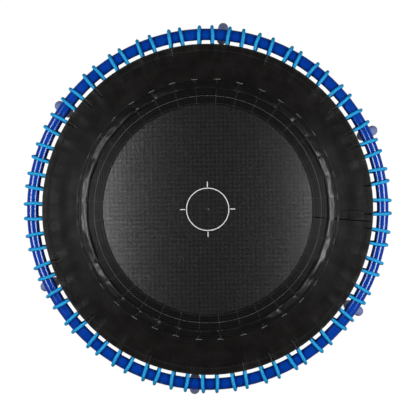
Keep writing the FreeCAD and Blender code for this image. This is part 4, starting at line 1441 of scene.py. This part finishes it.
def make_floor():
    """A pale floor: near white to the camera, plain matt to the light."""
    s = Shader("floor_pale")
    s.finish((0.16, 0.16, 0.165, 1), 0.9)
    seen = s.add("Emission", (1.0, 1.0, 1.0, 1), 0.95)
    shade = s.add("BsdfDiffuse", (0.06, 0.06, 0.062, 1))
    both = s.add("AddShader", s.out(seen), s.out(shade))
    choose = s.add("MixShader", s.to_camera(), s.out(s.surface), s.out(both))
    s.put(s.tree.nodes["Material Output"].inputs["Surface"], s.out(choose))
    mesh = bpy.data.meshes.new("floor")
    corners = [(-1, -1), (1, -1), (1, 1), (-1, 1)]
    mesh.from_pydata([(x * FLOOR_HALF, y * FLOOR_HALF, FLOOR_Z) for x, y in corners], [], [(0, 1, 2, 3)])
    add_object("floor", mesh, s.material)


def make_world():
    """White to the camera, dim overhead and brighter low down to the light."""
    world = bpy.data.worlds.new("studio")
    bpy.context.scene.world = world
    world.use_nodes = True
    nodes = Nodes(world.node_tree)
    height = nodes.axes(nodes.out(nodes.add("TexCoord"), "Generated"))[2]
    light = nodes.map(height, 0.0, 0.6, 0.06, 0.02)
    back = nodes.tree.nodes["Background"]
    nodes.put(back.inputs["Strength"], nodes.blend(nodes.to_camera(), light, 0.97))
    nodes.put(back.inputs["Color"], (1, 1, 1, 1))


def softbox(name, place, across, along, radiance):
    """A soft studio light above and beside the object, aimed at the middle of the mat."""
    light = bpy.data.lights.new(name, "AREA")
    light.shape = "RECTANGLE"
    light.size = across
    light.size_y = along
    light.energy = radiance * math.pi * across * along
    box = add_object(name, light)
    box.location = place
    box.rotation_euler = (0, math.atan2(place[0], place[2] - RING_Z), 0)


LIGHT_ASIDE = 1.6
LIGHT_OVER_RING = 1.5


def make_lights():
    """Two long softboxes, one on each side."""
    height = RING_Z + LIGHT_OVER_RING
    softbox("softbox_right", (LIGHT_ASIDE, -0.14, height), 0.66, 1.57, 17.5)
    softbox("softbox_left", (-LIGHT_ASIDE, 0.085, height), 0.66, 1.67, 15.5)


def make_camera():
    """Straight above the mat, a little off its centre and shifted to keep it framed."""
    data = bpy.data.cameras.new("camera")
    camera = add_object("camera", data)
    camera.location = (*CAMERA_STANDS, RING_Z + CAMERA_OVER_RING)
    camera.rotation_euler = (0, 0, CAMERA_TURN)
    data.sensor_width = SENSOR
    data.lens = SENSOR * CAMERA_OVER_RING / VIEW_WIDTH
    c, s = math.cos(CAMERA_TURN), math.sin(CAMERA_TURN)
    x, y = CAMERA_STANDS
    seen = np.array([-x * c - y * s, x * s - y * c])
    data.shift_x, data.shift_y = seen / VIEW_WIDTH - RING_OFF_CENTRE
    data.clip_start, data.clip_end = 0.05, 50
    bpy.context.scene.camera = camera


# ---------------------------------------------------------------- the whole object

bpy.context.scene.view_settings.view_transform = "Standard"
dress_cad_nodes()
make_sheet()
make_mark()
make_band()
make_band_stitching()
make_roll()
make_skirt()
make_hem()
make_lap()
make_skirt_stitches()
make_tacks()
make_cords()
make_tabs()
make_feet()
make_welds()
make_floor()
make_world()
make_lights()
make_camera()
